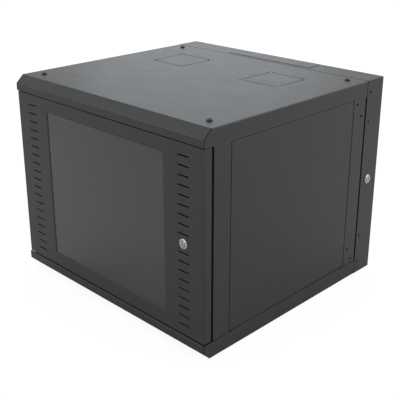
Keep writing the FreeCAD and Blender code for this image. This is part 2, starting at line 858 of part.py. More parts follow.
def make_side_panels():
    low = f"(-{BAND} + sill_height + panel_seam_bottom)"
    high = f"({BAND} - panel_seam_top)"
    front = f"({PANEL_FRONT} + panel_seam_side)"
    back = f"({PANEL_BACK} - panel_seam_side)"
    half = value(HALF)

    def inset(margin):
        across = (f"{front} + {margin}", f"{back} - ({margin})")
        return rectangle(*across, f"{low} + {margin}", f"{high} - ({margin})")

    for name, side in SIDES.items():
        panel = make_body(f"side_panel_{name}")
        pad(panel, "YZ", [polygon(inset("0"))], *side_span(side, LEDGE_X, HALF))
        round_edges(
            panel,
            "panel_corner",
            lambda middle, box: near(box.YMin, box.YMax) and near(box.ZMin, box.ZMax),
        )
        round_edges(
            panel,
            "panel_round",
            lambda middle, box: near(box.XMin, box.XMax) and near(abs(middle.x), half),
        )
        tray = side_span(side, f"{LEDGE_X} + panel_sheet", f"{HALF} - panel_sheet")
        cut(panel, "YZ", [polygon(inset("panel_sheet"))], *tray)
        window = side_span(side, LEDGE_X, f"{LEDGE_X} + panel_sheet")
        cut(panel, "YZ", [polygon(inset("panel_sheet + panel_flange"))], *window)
        cut_panel_screw_holes(panel, side, "panel_sheet", PANEL_SCREWS_Y, outward=True)
        keep(panel)


def make_panel_screws():
    length = "frame_sheet + panel_sheet + thread_end"
    screw = fastener(
        "panel_screw", "panel_screw_head_radius", "panel_screw_head_height", "panel_screw_radius", length
    )
    copies = []
    for side, rotation in ((-1, FACING_RIGHT), (1, FACING_LEFT)):
        for y in PANEL_SCREWS_Y:
            for level in LEVELS.values():
                x = f"{side} * ({LEDGE_X} - frame_sheet)"
                z = f"{level} * ({BAND} - panel_screw_drop)"
                copies.append(linked(screw, "panel_screw_copy", x, y, z, rotation))
    group("side_panel_screws", copies)


# ---------------------------------------------------------------- rack rails


def make_rack_rails():
    height = f"({TOP} - cover_sheet - rack_rail_end_gap)"
    front_flange = (RACK_FRONT, f"{RACK_FRONT} + rail_sheet")
    rear_flange = (f"{RACK_BACK} - rail_sheet", RACK_BACK)
    places = {
        "front": (RACK_FRONT, f"{RACK_FRONT} + rack_rail_depth", 1, front_flange),
        "rear": (RACK_BACK, f"{RACK_BACK} - rack_rail_depth", -1, rear_flange),
    }
    for end, (face, back, turn, flange) in places.items():
        for name, side in SIDES.items():
            rail = make_body(f"rack_rail_{end}_{name}")
            path = [
                (f"{side} * rack_opening / 2", face),
                (f"{side} * {SIDE_RAIL_X}", face),
                (f"{side} * {SIDE_RAIL_X}", back),
            ]
            pad(rail, "XY", [polygon(folded(path, "rail_sheet", side * turn))], f"-{height}", height)
            bolt_y = RACK_BOLTS_Y[0] if turn > 0 else RACK_BOLTS_Y[1]
            levels = [f"{level} * {SIDE_RAIL_MIDDLE}" for level in LEVELS.values()]
            holes = [circle(bolt_y, z, "bolt_hole_radius") for z in levels]
            cut(rail, "YZ", holes, *side_span(side, f"{SIDE_RAIL_X} - rail_sheet", SIDE_RAIL_X))
            squares = []
            for step in range(3):
                x = f"{side} * rack_hole_spacing / 2"
                z = f"-rack_units * unit_height / 2 + unit_first_hole + {step} * unit_hole_step"
                half = "rack_hole_side / 2"
                across = (f"{x} - {half}", f"{x} + {half}")
                squares.append(rectangle(*across, f"{z} - {half}", f"{z} + {half}"))
            first_unit = cut(rail, "XZ", [polygon(points) for points in squares], *flange)
            repeat(rail, first_unit, "Z", "unit_height", "rack_units")
            keep(rail)


def make_rack_rail_bolts(nut):
    stack = "rail_sheet + frame_sheet"
    bolt = fastener(
        "rack_rail_bolt",
        "bolt_head_radius",
        "bolt_head_height",
        "bolt_radius",
        f"{stack} + bolt_nut_height + thread_end",
    )
    bolts = []
    nuts = []
    for side, rotation in ((-1, FACING_RIGHT), (1, FACING_LEFT)):
        for y in RACK_BOLTS_Y:
            for level in LEVELS.values():
                z = f"{level} * {SIDE_RAIL_MIDDLE}"
                head = f"{side} * ({SIDE_RAIL_X} - rail_sheet)"
                far = f"{side} * ({SIDE_RAIL_X} + frame_sheet + bolt_nut_height)"
                bolts.append(linked(bolt, "rack_rail_bolt_copy", head, y, z, rotation))
                nuts.append(linked(nut, "rack_rail_nut_copy", far, y, z, rotation))
    group("rack_rail_bolts", bolts)
    return nuts


# ---------------------------------------------------------------- hinges between the sections


def barrel(body, low, high):
    outer = circle(HINGE_X, HINGE_Y, "hinge_barrel_radius")
    bore = circle(HINGE_X, HINGE_Y, "hinge_pin_radius + hinge_clearance")
    pad(body, "XY", [outer, bore], low, high)


def make_swing_leaf(name, middle):
    leaf = make_body(f"swing_hinge_leaf_{name}")
    span = (f"-{HALF} - hinge_leaf", f"-{HALF}")
    plate = rectangle(
        f"{HINGE_Y} - hinge_swing_leaf_reach",
        f"{HINGE_Y} - hinge_leaf_relief",
        f"{middle} - hinge_swing_leaf_half",
        f"{middle} + hinge_swing_leaf_half",
    )
    pad(leaf, "YZ", [polygon(plate)], *span)
    neck = rectangle(
        f"{HINGE_Y} - hinge_leaf_relief",
        f"{HINGE_Y} - hinge_leaf_overlap",
        f"{middle} - hinge_knuckle_half",
        f"{middle} + hinge_knuckle_half",
    )
    pad(leaf, "YZ", [polygon(neck)], *span)
    barrel(leaf, f"{middle} - hinge_knuckle_half", f"{middle} + hinge_knuckle_half")
    holes = [circle(y, f"{middle} + {rise}", "hinge_hole_radius") for y, rise in HINGE_HOLES_SWING]
    cut(leaf, "YZ", holes, *span)
    keep(leaf)


def make_wall_leaf(name, middle):
    leaf = make_body(f"wall_hinge_leaf_{name}")
    span = (f"-{HALF} - hinge_leaf", f"-{HALF}")
    plate = rectangle(
        f"{HINGE_Y} + hinge_leaf_relief",
        f"{HINGE_Y} + hinge_wall_leaf_reach",
        f"{middle} - hinge_leaf_half",
        f"{middle} + hinge_leaf_half",
    )
    pad(leaf, "YZ", [polygon(plate)], *span)
    inner = "(hinge_knuckle_half + hinge_knuckle_gap)"
    for low, high in (("-hinge_leaf_half", f"-{inner}"), (inner, "hinge_leaf_half")):
        ends = (f"{middle} + {low}", f"{middle} + {high}")
        neck = rectangle(f"{HINGE_Y} + hinge_leaf_overlap", f"{HINGE_Y} + hinge_leaf_relief", *ends)
        pad(leaf, "YZ", [polygon(neck)], *span)
        barrel(leaf, *ends)
    holes = [circle(y, f"{middle} + {rise}", "hinge_hole_radius") for y, rise in HINGE_HOLES_WALL]
    cut(leaf, "YZ", holes, *span)
    keep(leaf)


def make_hinge_pins():
    length = "2 * hinge_leaf_half + thread_end"
    pin = fastener(
        "hinge_pin", "hinge_pin_head_radius", "hinge_pin_head_height", "hinge_pin_radius", length
    )
    copies = [
        linked(pin, "hinge_pin_copy", HINGE_X, HINGE_Y, f"{level} * {HINGE_Z} + hinge_leaf_half")
        for level in LEVELS.values()
    ]
    group("swing_hinge_pins", copies)


def hinge_fasteners(label, spots, sheet):
    """Screws through the leaves on the left, and clinch nuts behind every hinge hole on both sides."""
    length = f"hinge_leaf + {sheet} + clinch_nut_height"
    screw = fastener(
        f"{label}_hinge_screw",
        "hinge_screw_head_radius",
        "hinge_screw_head_height",
        "hinge_screw_radius",
        length,
    )
    nut = make_body(f"{label}_clinch_nut")
    ring(nut, "clinch_nut_radius", "hinge_screw_radius + thread_clearance", "0", "clinch_nut_height")
    screws = []
    nuts = []
    for y, rise in spots:
        for level in LEVELS.values():
            z = f"{level} * {HINGE_Z} + {rise}"
            head = f"-{HALF} - hinge_leaf"
            screws.append(linked(screw, f"{label}_hinge_screw_copy", head, y, z, FACING_LEFT))
            for side, rotation in ((-1, FACING_RIGHT), (1, FACING_LEFT)):
                x = f"{side} * ({HALF} - {sheet})"
                nuts.append(linked(nut, f"{label}_clinch_nut_copy", x, y, z, rotation))
    group(f"{label}_hinge_screws", screws)
    group(f"{label}_clinch_nuts", nuts)


def make_hinges():
    for name, level in LEVELS.items():
        middle = f"({level} * {HINGE_Z})"
        make_swing_leaf(name, middle)
        make_wall_leaf(name, middle)
    make_hinge_pins()
    hinge_fasteners("swing", HINGE_HOLES_SWING, "frame_sheet")
    hinge_fasteners("wall", HINGE_HOLES_WALL, "wall_sheet")


# ---------------------------------------------------------------- wall section


def make_wall_frame():
    """One sheet folded into the back and both sides, with narrow returns at the front."""
    frame = make_body("wall_frame")
    path = [
        (f"-{HALF} + wall_flange", WALL_FRONT),
        (f"-{HALF}", WALL_FRONT),
        (f"-{HALF}", "0"),
        (HALF, "0"),
        (HALF, WALL_FRONT),
        (f"{HALF} - wall_flange", WALL_FRONT),
    ]
    pad(frame, "XY", [polygon(folded(path, "wall_sheet", -1))], f"-{TOP}", TOP)
    half = value(HALF)

    def back_corner(middle, box):
        upright = near(box.XMin, box.XMax) and near(box.YMin, box.YMax)
        return upright and near(abs(middle.x), half) and near(middle.y, 0)

    def inner_corner(middle, box):
        upright = near(box.XMin, box.XMax) and near(box.YMin, box.YMax)
        sheet = value("wall_sheet")
        return upright and near(abs(middle.x), half - sheet) and near(middle.y, -sheet)

    round_edges(frame, "wall_bend", back_corner)
    round_edges(frame, "wall_bend - wall_sheet", inner_corner)
    half_width = "wall_cutout_width / 2"
    half_height = "wall_cutout_height / 2"
    openings = [polygon(rectangle(f"-{half_width}", half_width, f"-{half_height}", half_height))]
    for a in (-1, 1):
        for b in (-1, 1):
            spot = (f"{a} * wall_bolt_spacing_x / 2", f"{b} * wall_bolt_spacing_z / 2")
            openings.append(circle(*spot, "wall_bolt_radius"))
    cut(frame, "XZ", openings, "-wall_sheet", "0")
    for side in SIDES.values():
        cut_hinge_holes(frame, side, HINGE_HOLES_WALL, "wall_sheet")
    lock_hole = [circle(f"{WALL_FRONT} + side_lock_setback", "0", "lock_hole_radius")]
    cut(frame, "YZ", lock_hole, f"{HALF} - wall_sheet", HALF)
    keep(frame)


def entry_stud_spots():
    for a in (-1, 1):
        for b in (-1, 1):
            x = f"{a} * (entry_width / 2 - entry_stud_inset_x)"
            y = f"{WALL_FRONT} + entry_centre + {b} * (entry_depth / 2 - entry_stud_inset_y)"
            yield x, y


def make_wall_ends():
    """The top and bottom sheets of the wall section, each with a cable entry."""
    for name, level in (("top", 1), ("bottom", -1)):
        end = make_body(f"wall_{name}")
        edge = f"{level} * ({TOP} - wall_flange)"
        path = [
            (WALL_FRONT, edge),
            (WALL_FRONT, f"{level} * {TOP}"),
            ("-wall_sheet", f"{level} * {TOP}"),
            ("-wall_sheet", edge),
        ]
        outline = folded(path, "wall_sheet", -level)
        pad(end, "YZ", [polygon(outline)], f"-{HALF} + wall_flange", f"{HALF} - wall_flange")
        sheet = level_span(level, "0", "wall_sheet")
        plate = rectangle(
            f"-{HALF} + wall_bend", f"{HALF} - wall_bend", f"{WALL_FRONT} + wall_sheet", "-wall_sheet"
        )
        pad(end, "XY", [polygon(plate)], *sheet)
        fill = rectangle(
            f"-{HALF} + wall_sheet", f"{HALF} - wall_sheet", f"{WALL_FRONT} + wall_sheet", "-wall_bend"
        )
        pad(end, "XY", [polygon(fill)], *sheet)
        opening = rectangle(
            "-entry_width / 2 + entry_margin_x",
            "entry_width / 2 - entry_margin_x",
            f"{WALL_FRONT} + entry_centre - entry_depth / 2 + entry_margin_y",
            f"{WALL_FRONT} + entry_centre + entry_depth / 2 - entry_margin_y",
        )
        cut(end, "XY", [polygon(opening)], *sheet)
        cut(end, "XY", [circle(x, y, "entry_stud_hole_radius") for x, y in entry_stud_spots()], *sheet)
        keep(end)


def make_cable_entry_covers():
    """Plates that lie on the wall section over its cable entries, on welded studs."""
    bore = "entry_stud_radius + thread_clearance"
    nut = hex_nut("entry_nut", "entry_nut_radius", "entry_nut_height", bore)
    nuts = []
    half_x = value("entry_width / 2")

    def corner(middle, box):
        return near(box.XMin, box.XMax) and near(box.YMin, box.YMax) and near(abs(middle.x), half_x)

    for name, level, rotation in (("top", 1, FACING_UP), ("bottom", -1, FACING_DOWN)):
        cover = make_body(f"cable_cover_{name}")
        plate = rectangle(
            "-entry_width / 2",
            "entry_width / 2",
            f"{WALL_FRONT} + entry_centre - entry_depth / 2",
            f"{WALL_FRONT} + entry_centre + entry_depth / 2",
        )
        span = level_span(level, "-entry_plate", "0")
        pad(cover, "XY", [polygon(plate)], *span)
        round_edges(cover, "entry_round", corner)
        reach = "wall_sheet + entry_nut_height + thread_end"
        studs = [circle(x, y, "entry_stud_radius") for x, y in entry_stud_spots()]
        pad(cover, "XY", studs, *level_span(level, "0", reach))
        keep(cover)
        for x, y in entry_stud_spots():
            z = f"{level} * ({TOP} - wall_sheet - entry_nut_height)"
            nuts.append(linked(nut, "entry_nut_copy", x, y, z, rotation))
    group("cable_cover_nuts", nuts)


# ---------------------------------------------------------------- front door


def make_door_shell():
    shell = make_body("door_shell")

    def inset(margin):
        across = (f"-{DOOR_HALF} + {margin}", f"{DOOR_HALF} - ({margin})")
        return rectangle(*across, f"{DOOR_LOW} + {margin}", f"{DOOR_HIGH} - ({margin})")

    pad(shell, "XZ", [polygon(inset("0"))], DOOR_FRONT, DOOR_BACK)
    half = value(DOOR_HALF)
    face = value(DOOR_FRONT)

    def front_corner(middle, box):
        upright = near(box.XMin, box.XMax) and near(box.YMin, box.YMax)
        return upright and near(abs(middle.x), half) and near(middle.y, face)

    round_edges(shell, "door_bend", front_corner)
    hollow = (f"{DOOR_FRONT} + door_sheet", f"{DOOR_BACK} - door_sheet")
    cut(shell, "XZ", [polygon(inset("door_sheet"))], *hollow)
    cut(shell, "XZ", [polygon(inset("door_sheet + door_flange"))], f"{DOOR_BACK} - door_sheet", DOOR_BACK)
    window = rectangle(f"-{WINDOW_X}", WINDOW_X, WINDOW_LOW, WINDOW_HIGH)
    face_sheet = (DOOR_FRONT, f"{DOOR_FRONT} + door_sheet")
    lock_hole = circle(SLOT_X, "0", "lock_hole_radius")
    cut(shell, "XZ", [polygon(window), lock_hole], *face_sheet)
    straight = "(slot_length - slot_height) / 2"
    columns = (
        (-1, f"-slots_above_middle * {SLOT_PITCH}", "2 * slots_above_middle + 1"),
        (1, f"-slots_above_middle * {SLOT_PITCH}", "slots_above_middle"),
        (1, SLOT_PITCH, "slots_above_middle"),
    )
    for side, first, count in columns:
        x = f"{side} * {SLOT_X}"
        lowest = slot(f"{x} - {straight}", f"{x} + {straight}", first, "slot_height / 2")
        opening = cut(shell, "XZ", [lowest], *face_sheet)
        repeat(shell, opening, "Z", SLOT_PITCH, count)
    pin_hole = [circle(PIN_X, PIN_Y, "pin_radius + pin_clearance")]
    cut(shell, "XY", pin_hole, f"{DOOR_HIGH} - door_sheet", DOOR_HIGH)
    cut(shell, "XY", pin_hole, DOOR_LOW, f"{DOOR_LOW} + door_sheet")
    keep(shell)


def make_glazing():
    seal = make_body("glass_seal")
    outer = rectangle(f"-{GLASS_HALF_X}", GLASS_HALF_X, GLASS_LOW, GLASS_HIGH)
    inner = rectangle(
        f"-{WINDOW_X} - glass_seal_inset",
        f"{WINDOW_X} + glass_seal_inset",
        f"{WINDOW_LOW} - glass_seal_inset",
        f"{WINDOW_HIGH} + glass_seal_inset",
    )
    seal_back = f"{DOOR_FRONT} + door_sheet + glass_seal"
    pad(seal, "XZ", [polygon(outer), polygon(inner)], f"{DOOR_FRONT} + door_sheet", seal_back)
    keep(seal)
    pane = doc.addObject("Part::Box", "door_glass")
    pane.Label = "door_glass"
    bind(pane, "Length", f"2 * {GLASS_HALF_X}")
    bind(pane, "Width", "glass")
    bind(pane, "Height", f"{GLASS_HIGH} - {GLASS_LOW}")
    place(pane, f"-{GLASS_HALF_X}", seal_back, GLASS_LOW)
    keep(pane)


def make_glass_clips():
    """Z-shaped clips. The master lies at an edge of the glass: X points away from the glass, and Y back."""
    clip = make_body("glass_clip")
    back = "(glass_seal + glass)"
    outline = [
        ("-clip_hold", back),
        ("clip_clearance", back),
        ("clip_clearance", "0"),
        ("clip_foot", "0"),
        ("clip_foot", "clip_sheet"),
        ("clip_clearance + clip_sheet", "clip_sheet"),
        ("clip_clearance + clip_sheet", f"{back} + clip_sheet"),
        ("-clip_hold", f"{back} + clip_sheet"),
    ]
    pad(clip, "XY", [polygon(outline)], "-clip_length / 2", "clip_length / 2")
    y = f"{DOOR_FRONT} + door_sheet"
    about_y = FreeCAD.Vector(0, 1, 0)
    copies = []
    for way in (-1, 1):
        across = f"{way} * clip_share * {GLASS_HALF_X}"
        upright = f"{GLASS_MIDDLE} + {way} * clip_share * ({GLASS_HIGH} - {GLASS_LOW}) / 2"
        edges = (
            (GLASS_HALF_X, upright, 0),
            (f"-{GLASS_HALF_X}", upright, 180),
            (across, GLASS_HIGH, -90),
            (across, GLASS_LOW, 90),
        )
        for x, z, angle in edges:
            copies.append(linked(clip, "glass_clip_copy", x, y, z, FreeCAD.Rotation(about_y, angle)))
    group("glass_clips", copies)


def make_door_pins():
    lower = make_body("door_pin_lower")
    seat = f"{DOOR_LOW} + door_sheet"
    outline = [
        ("0", f"-{LIP} - pin_reach"),
        ("pin_radius", f"-{LIP} - pin_reach"),
        ("pin_radius", seat),
        ("pin_collar_radius", seat),
        ("pin_collar_radius", f"{seat} + pin_collar_height"),
        ("0", f"{seat} + pin_collar_height"),
    ]
    turn_profile(lower, outline)
    place(lower, PIN_X, PIN_Y, "0")
    keep(lower)

    upper = make_body("door_pin_upper")
    tail = f"({BRACKET_TOP} - pin_bracket_sheet - pin_tail)"
    outline = [
        ("0", f"{tail} - pin_knob_height"),
        ("pin_knob_radius", f"{tail} - pin_knob_height"),
        ("pin_knob_radius", tail),
        ("pin_radius", tail),
        ("pin_radius", f"{COLLAR_TOP} - pin_collar_height"),
        ("pin_collar_radius", f"{COLLAR_TOP} - pin_collar_height"),
        ("pin_collar_radius", COLLAR_TOP),
        ("pin_radius", COLLAR_TOP),
        ("pin_radius", f"{LIP} + pin_reach"),
        ("0", f"{LIP} + pin_reach"),
    ]
    turn_profile(upper, outline)
    place(upper, PIN_X, PIN_Y, "0")
    keep(upper)

    washer = make_body("door_thrust_washer")
    ring(washer, "washer_radius", "pin_radius + pin_clearance", f"-{LIP}", f"{DOOR_LOW} - washer_gap")
    place(washer, PIN_X, PIN_Y, "0")
    keep(washer)


def make_pin_bracket():
    """An angle on the inside of the door's hinge edge that guides the tail of the sprung pin."""
    bracket = make_body("door_pin_bracket")
    wall = f"-{DOOR_HALF} + door_sheet"
    low_y = f"{PIN_Y} - pin_bracket_half"
    high_y = f"{PIN_Y} + pin_bracket_half"
    plate = rectangle(wall, f"{wall} + pin_bracket_reach", low_y, high_y)
    pad(bracket, "XY", [polygon(plate)], f"{BRACKET_TOP} - pin_bracket_sheet", BRACKET_TOP)
    leg = rectangle(wall, f"{wall} + pin_bracket_sheet", low_y, high_y)
    pad(bracket, "XY", [polygon(leg)], BRACKET_TOP, f"{DOOR_HIGH} - door_sheet")
    hole = [circle(PIN_X, PIN_Y, "pin_radius + pin_clearance")]
    cut(bracket, "XY", hole, f"{BRACKET_TOP} - pin_bracket_sheet", BRACKET_TOP)
    keep(bracket)


def make_pin_spring():
    """A helical spring between the bracket and the collar of the upper pin."""
    low = f"({BRACKET_TOP} + spring_wire_radius + spring_end_gap)"
    high = f"({COLLAR_TOP} - pin_collar_height - spring_wire_radius - spring_end_gap)"
    helix = doc.addObject("Part::Helix", "door_pin_spring_line")
    bind(helix, "Height", f"{high} - {low}")
    bind(helix, "Pitch", f"({high} - {low}) / spring_turns")
    bind(helix, "Radius", "spring_radius")
    helix.SegmentLength = 0.25
    wire = doc.addObject("Part::Circle", "door_pin_spring_wire")
    bind(wire, "Radius", "spring_wire_radius")
    place(wire, "spring_radius", "0", "0", FACING_FRONT)
    spring = doc.addObject("Part::Sweep", "door_pin_spring")
    spring.Label = "door_pin_spring"
    spring.Sections = [wire]
    spring.Spine = (helix, [])
    spring.Solid = True
    spring.Frenet = True
    place(spring, PIN_X, PIN_Y, low)
    keep(spring)


def make_door_buffers():
    buffer = make_body("door_buffer")
    turn_profile(
        buffer,
        rectangle("0", "buffer_radius", "0", "post_setback - door_recess - door_depth - buffer_gap"),
    )
    x = f"{HALF} - buffer_inset"
    copies = [
        linked(buffer, "door_buffer_copy", x, POST_FRONT, f"{level} * ({BAND} - buffer_drop)", FACING_FRONT)
        for level in LEVELS.values()
    ]
    group("door_buffers", copies)


# ---------------------------------------------------------------- cam locks


def make_lock(name, sheet, cam_length, spot, facing, cam_facing):
    """A cam lock on its own Z axis, which points out of the sheet from its outer face."""
    head = value("lock_head_height")
    housing = make_body(f"{name}_lock_body")
    bore = "(lock_plug_radius + lock_clearance)"
    outline = [
        (bore, "-lock_barrel_length"),
        ("lock_barrel_radius", "-lock_barrel_length"),
        ("lock_barrel_radius", "0"),
        ("lock_head_radius", "0"),
        ("lock_head_radius", "lock_head_height"),
        (bore, "lock_head_height"),
    ]
    turn_profile(housing, outline)
    rim = value("lock_head_radius")

    def head_rim(middle, box):
        return near(box.ZMin, head) and near(box.ZMax, head) and near(box.XMax, rim)

    round_edges(housing, "lock_head_round", head_rim)

    nut_bore = "lock_barrel_radius + thread_clearance"
    nut = hex_nut(f"{name}_lock_nut", "lock_nut_radius", "lock_nut_height", nut_bore)

    plug = make_body(f"{name}_lock_plug")
    end = "(-lock_barrel_length - lock_end_gap)"
    face = "(lock_head_height + lock_plug_rise)"
    turn_profile(plug, rectangle("0", "lock_plug_radius", end, face))
    top = value(face)
    round_edges(plug, "lock_plug_rise", lambda middle, box: near(box.ZMin, top) and near(box.ZMax, top))
    key_slot = rectangle(
        "-lock_key_width / 2", "lock_key_width / 2", "-lock_key_height / 2", "lock_key_height / 2"
    )
    cut(plug, "XY", [polygon(key_slot)], f"{face} - lock_key_depth", face)
    screw_hole = [circle("0", "0", "cam_screw_radius + thread_clearance")]
    cut(plug, "XY", screw_hole, end, f"{end} + cam_screw_length")

    cam = make_body(f"{name}_lock_cam")
    arm = slot("0", f"{cam_length} - cam_half_width", "0", "cam_half_width")
    pad(cam, "XY", [arm], f"{end} - cam_sheet", end)
    hole = [circle("0", "0", "cam_screw_radius + thread_clearance")]
    cut(cam, "XY", hole, f"{end} - cam_sheet", end)

    screw = fastener(
        f"{name}_cam_screw",
        "cam_screw_head_radius",
        "cam_screw_head_height",
        "cam_screw_radius",
        "cam_sheet + cam_screw_length - thread_end",
    )
    for item in (housing, plug):
        place(item, *spot, facing)
    place(cam, *spot, cam_facing)
    shift_along_axis(nut, spot, facing, f"-{sheet} - lock_nut_height")
    shift_along_axis(screw, spot, facing, f"{end} - cam_sheet", facing.multiply(FACING_DOWN))
    for item in (housing, nut, plug, cam, screw):
        keep(item)


def shift_along_axis(item, spot, facing, distance, rotation=None):
    """Places an item at a spot, moved by a distance along the direction that a lock faces."""
    axis = facing.multVec(FreeCAD.Vector(0, 0, 1))
    coordinates = [
        f"{start} + {round(part)} * ({distance})" for start, part in zip(spot, (axis.x, axis.y, axis.z))
    ]
    place(item, *coordinates, rotation or facing)


def make_locks():
    front = (SLOT_X, DOOR_FRONT, "0")
    front_cam = FACING_FRONT.multiply(QUARTER_TURN)
    make_lock("front", "door_sheet", "front_cam_length", front, FACING_FRONT, front_cam)
    side = (HALF, f"{WALL_FRONT} + side_lock_setback", "0")
    side_cam = FACING_RIGHT.multiply(HALF_TURN)
    make_lock("side", "wall_sheet", "side_cam_length", side, FACING_RIGHT, side_cam)


def make_striker():
    """A bracket on the right rear post, with a tooth behind the side lock's cam while that is turned up."""
    striker = make_body("side_lock_striker")
    arm_x = f"({HALF} - striker_inset - striker_sheet)"
    cam_back = f"({WALL_FRONT} + side_lock_setback + cam_half_width)"
    tooth_back = f"{cam_back} + tooth_gap + striker_sheet"
    height = ("striker_low", "striker_high")
    foot = rectangle(arm_x, f"{arm_x} + striker_foot", *height)
    pad(striker, "XZ", [polygon(foot)], POST_BACK, f"{POST_BACK} + striker_sheet")
    arm = rectangle(arm_x, f"{arm_x} + striker_sheet", *height)
    pad(striker, "XZ", [polygon(arm)], POST_BACK, tooth_back)
    tooth = rectangle(arm_x, f"{arm_x} + tooth_width", "tooth_low", "tooth_high")
    pad(striker, "XZ", [polygon(tooth)], f"{cam_back} + tooth_gap", tooth_back)
    keep(striker)


# ---------------------------------------------------------------- build and write


def build():
    make_covers()
    nuts, nut = make_cover_bolts()
    make_posts()
    make_side_rails()
    make_side_panels()
    make_panel_screws()
    make_rack_rails()
    group("frame_nuts", nuts + make_rack_rail_bolts(nut))
    make_hinges()
    make_wall_frame()
    make_wall_ends()
    make_cable_entry_covers()
    make_door_shell()
    make_glazing()
    make_glass_clips()
    make_door_pins()
    make_pin_bracket()
    make_pin_spring()
    make_door_buffers()
    make_locks()
    make_striker()
    doc.recompute()


def check():
    for item in doc.Objects:
        if "Invalid" in item.State or "Error" in item.State:
            raise RuntimeError(f"{item.Label}: {item.State}")
        if item.TypeId == "PartDesign::Pocket":
            before = item.BaseFeature.Shape.Volume
            if item.Shape.Volume >= before - 1e-6:
                raise RuntimeError(f"{item.Label} cuts nothing")
    for item in nodes:
        if item.Shape.isNull() or not item.Shape.isValid():
            raise RuntimeError(f"{item.Label}: bad shape")


def write():
    os.makedirs("parts", exist_ok=True)
    for item in nodes:
        item.Shape.exportStep(os.path.join("parts", f"{item.Label}.step"))
        box = item.Shape.BoundBox
        lengths = f"{box.XLength:.1f} x {box.YLength:.1f} x {box.ZLength:.1f}"
        print(f"{item.Label}: {len(item.Shape.Solids)} solids, {lengths}")


build()
check()
write()
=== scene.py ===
import json
import math

import bmesh
import bpy
from mathutils import Matrix, Vector


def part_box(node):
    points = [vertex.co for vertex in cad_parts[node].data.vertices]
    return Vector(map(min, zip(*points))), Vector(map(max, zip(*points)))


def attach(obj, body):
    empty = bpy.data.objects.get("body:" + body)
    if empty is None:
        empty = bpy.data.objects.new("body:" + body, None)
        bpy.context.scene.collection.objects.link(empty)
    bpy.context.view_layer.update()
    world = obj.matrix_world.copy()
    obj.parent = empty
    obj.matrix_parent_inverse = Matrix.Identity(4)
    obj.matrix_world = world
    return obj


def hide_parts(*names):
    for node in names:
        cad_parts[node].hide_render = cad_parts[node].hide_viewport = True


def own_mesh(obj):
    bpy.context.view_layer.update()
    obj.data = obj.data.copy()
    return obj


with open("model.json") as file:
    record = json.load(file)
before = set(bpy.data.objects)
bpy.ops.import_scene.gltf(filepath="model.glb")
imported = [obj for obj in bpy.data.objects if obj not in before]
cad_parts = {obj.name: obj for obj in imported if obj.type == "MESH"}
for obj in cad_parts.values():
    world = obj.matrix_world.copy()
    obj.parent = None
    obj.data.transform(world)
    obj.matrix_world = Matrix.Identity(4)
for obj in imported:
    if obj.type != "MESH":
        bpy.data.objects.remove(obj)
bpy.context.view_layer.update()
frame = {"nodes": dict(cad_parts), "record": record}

# Wall cabinet for rack equipment: looks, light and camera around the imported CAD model. The scene is in
# metres. The sizes of the modelled forms are written in millimetres, and MM turns them into metres.

NODES = frame["nodes"]
RECORD = frame["record"]
MM = 0.001

BODY_OF = {node: body for body, nodes in RECORD["behaviour"]["bodies"].items() for node in nodes}
SLOT_OF = {part["node"]: part["material_slot"] for part in RECORD["subparts"]}

# The cabinet stands on the heads of the bolts in its bottom cover.
FLOOR_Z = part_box("cover_bolts")[0].z
CENTRE = Vector((0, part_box("top_cover")[0].y / 2, 0))

# Width of the softened edges of the CAD nodes: by slot, and for some nodes apart.
SLOT_EDGES = {
    "black_powder_coat": 0.3 * MM,
    "black_hardware": 0.2 * MM,
    "zinc_sheet": 0.25 * MM,
    "zinc_hardware": 0.2 * MM,
    "lock_chrome": 0.2 * MM,
    "smoked_glass": 0.4 * MM,
    "black_rubber": 0.1 * MM,
    "nylon": 0.3 * MM,
}
EDGES = {"door_pin_spring": 0.05 * MM}

# Vertices nearer to each other than this are one.
WELD = 0.01 * MM


# ---------------------------------------------------------------- node helpers


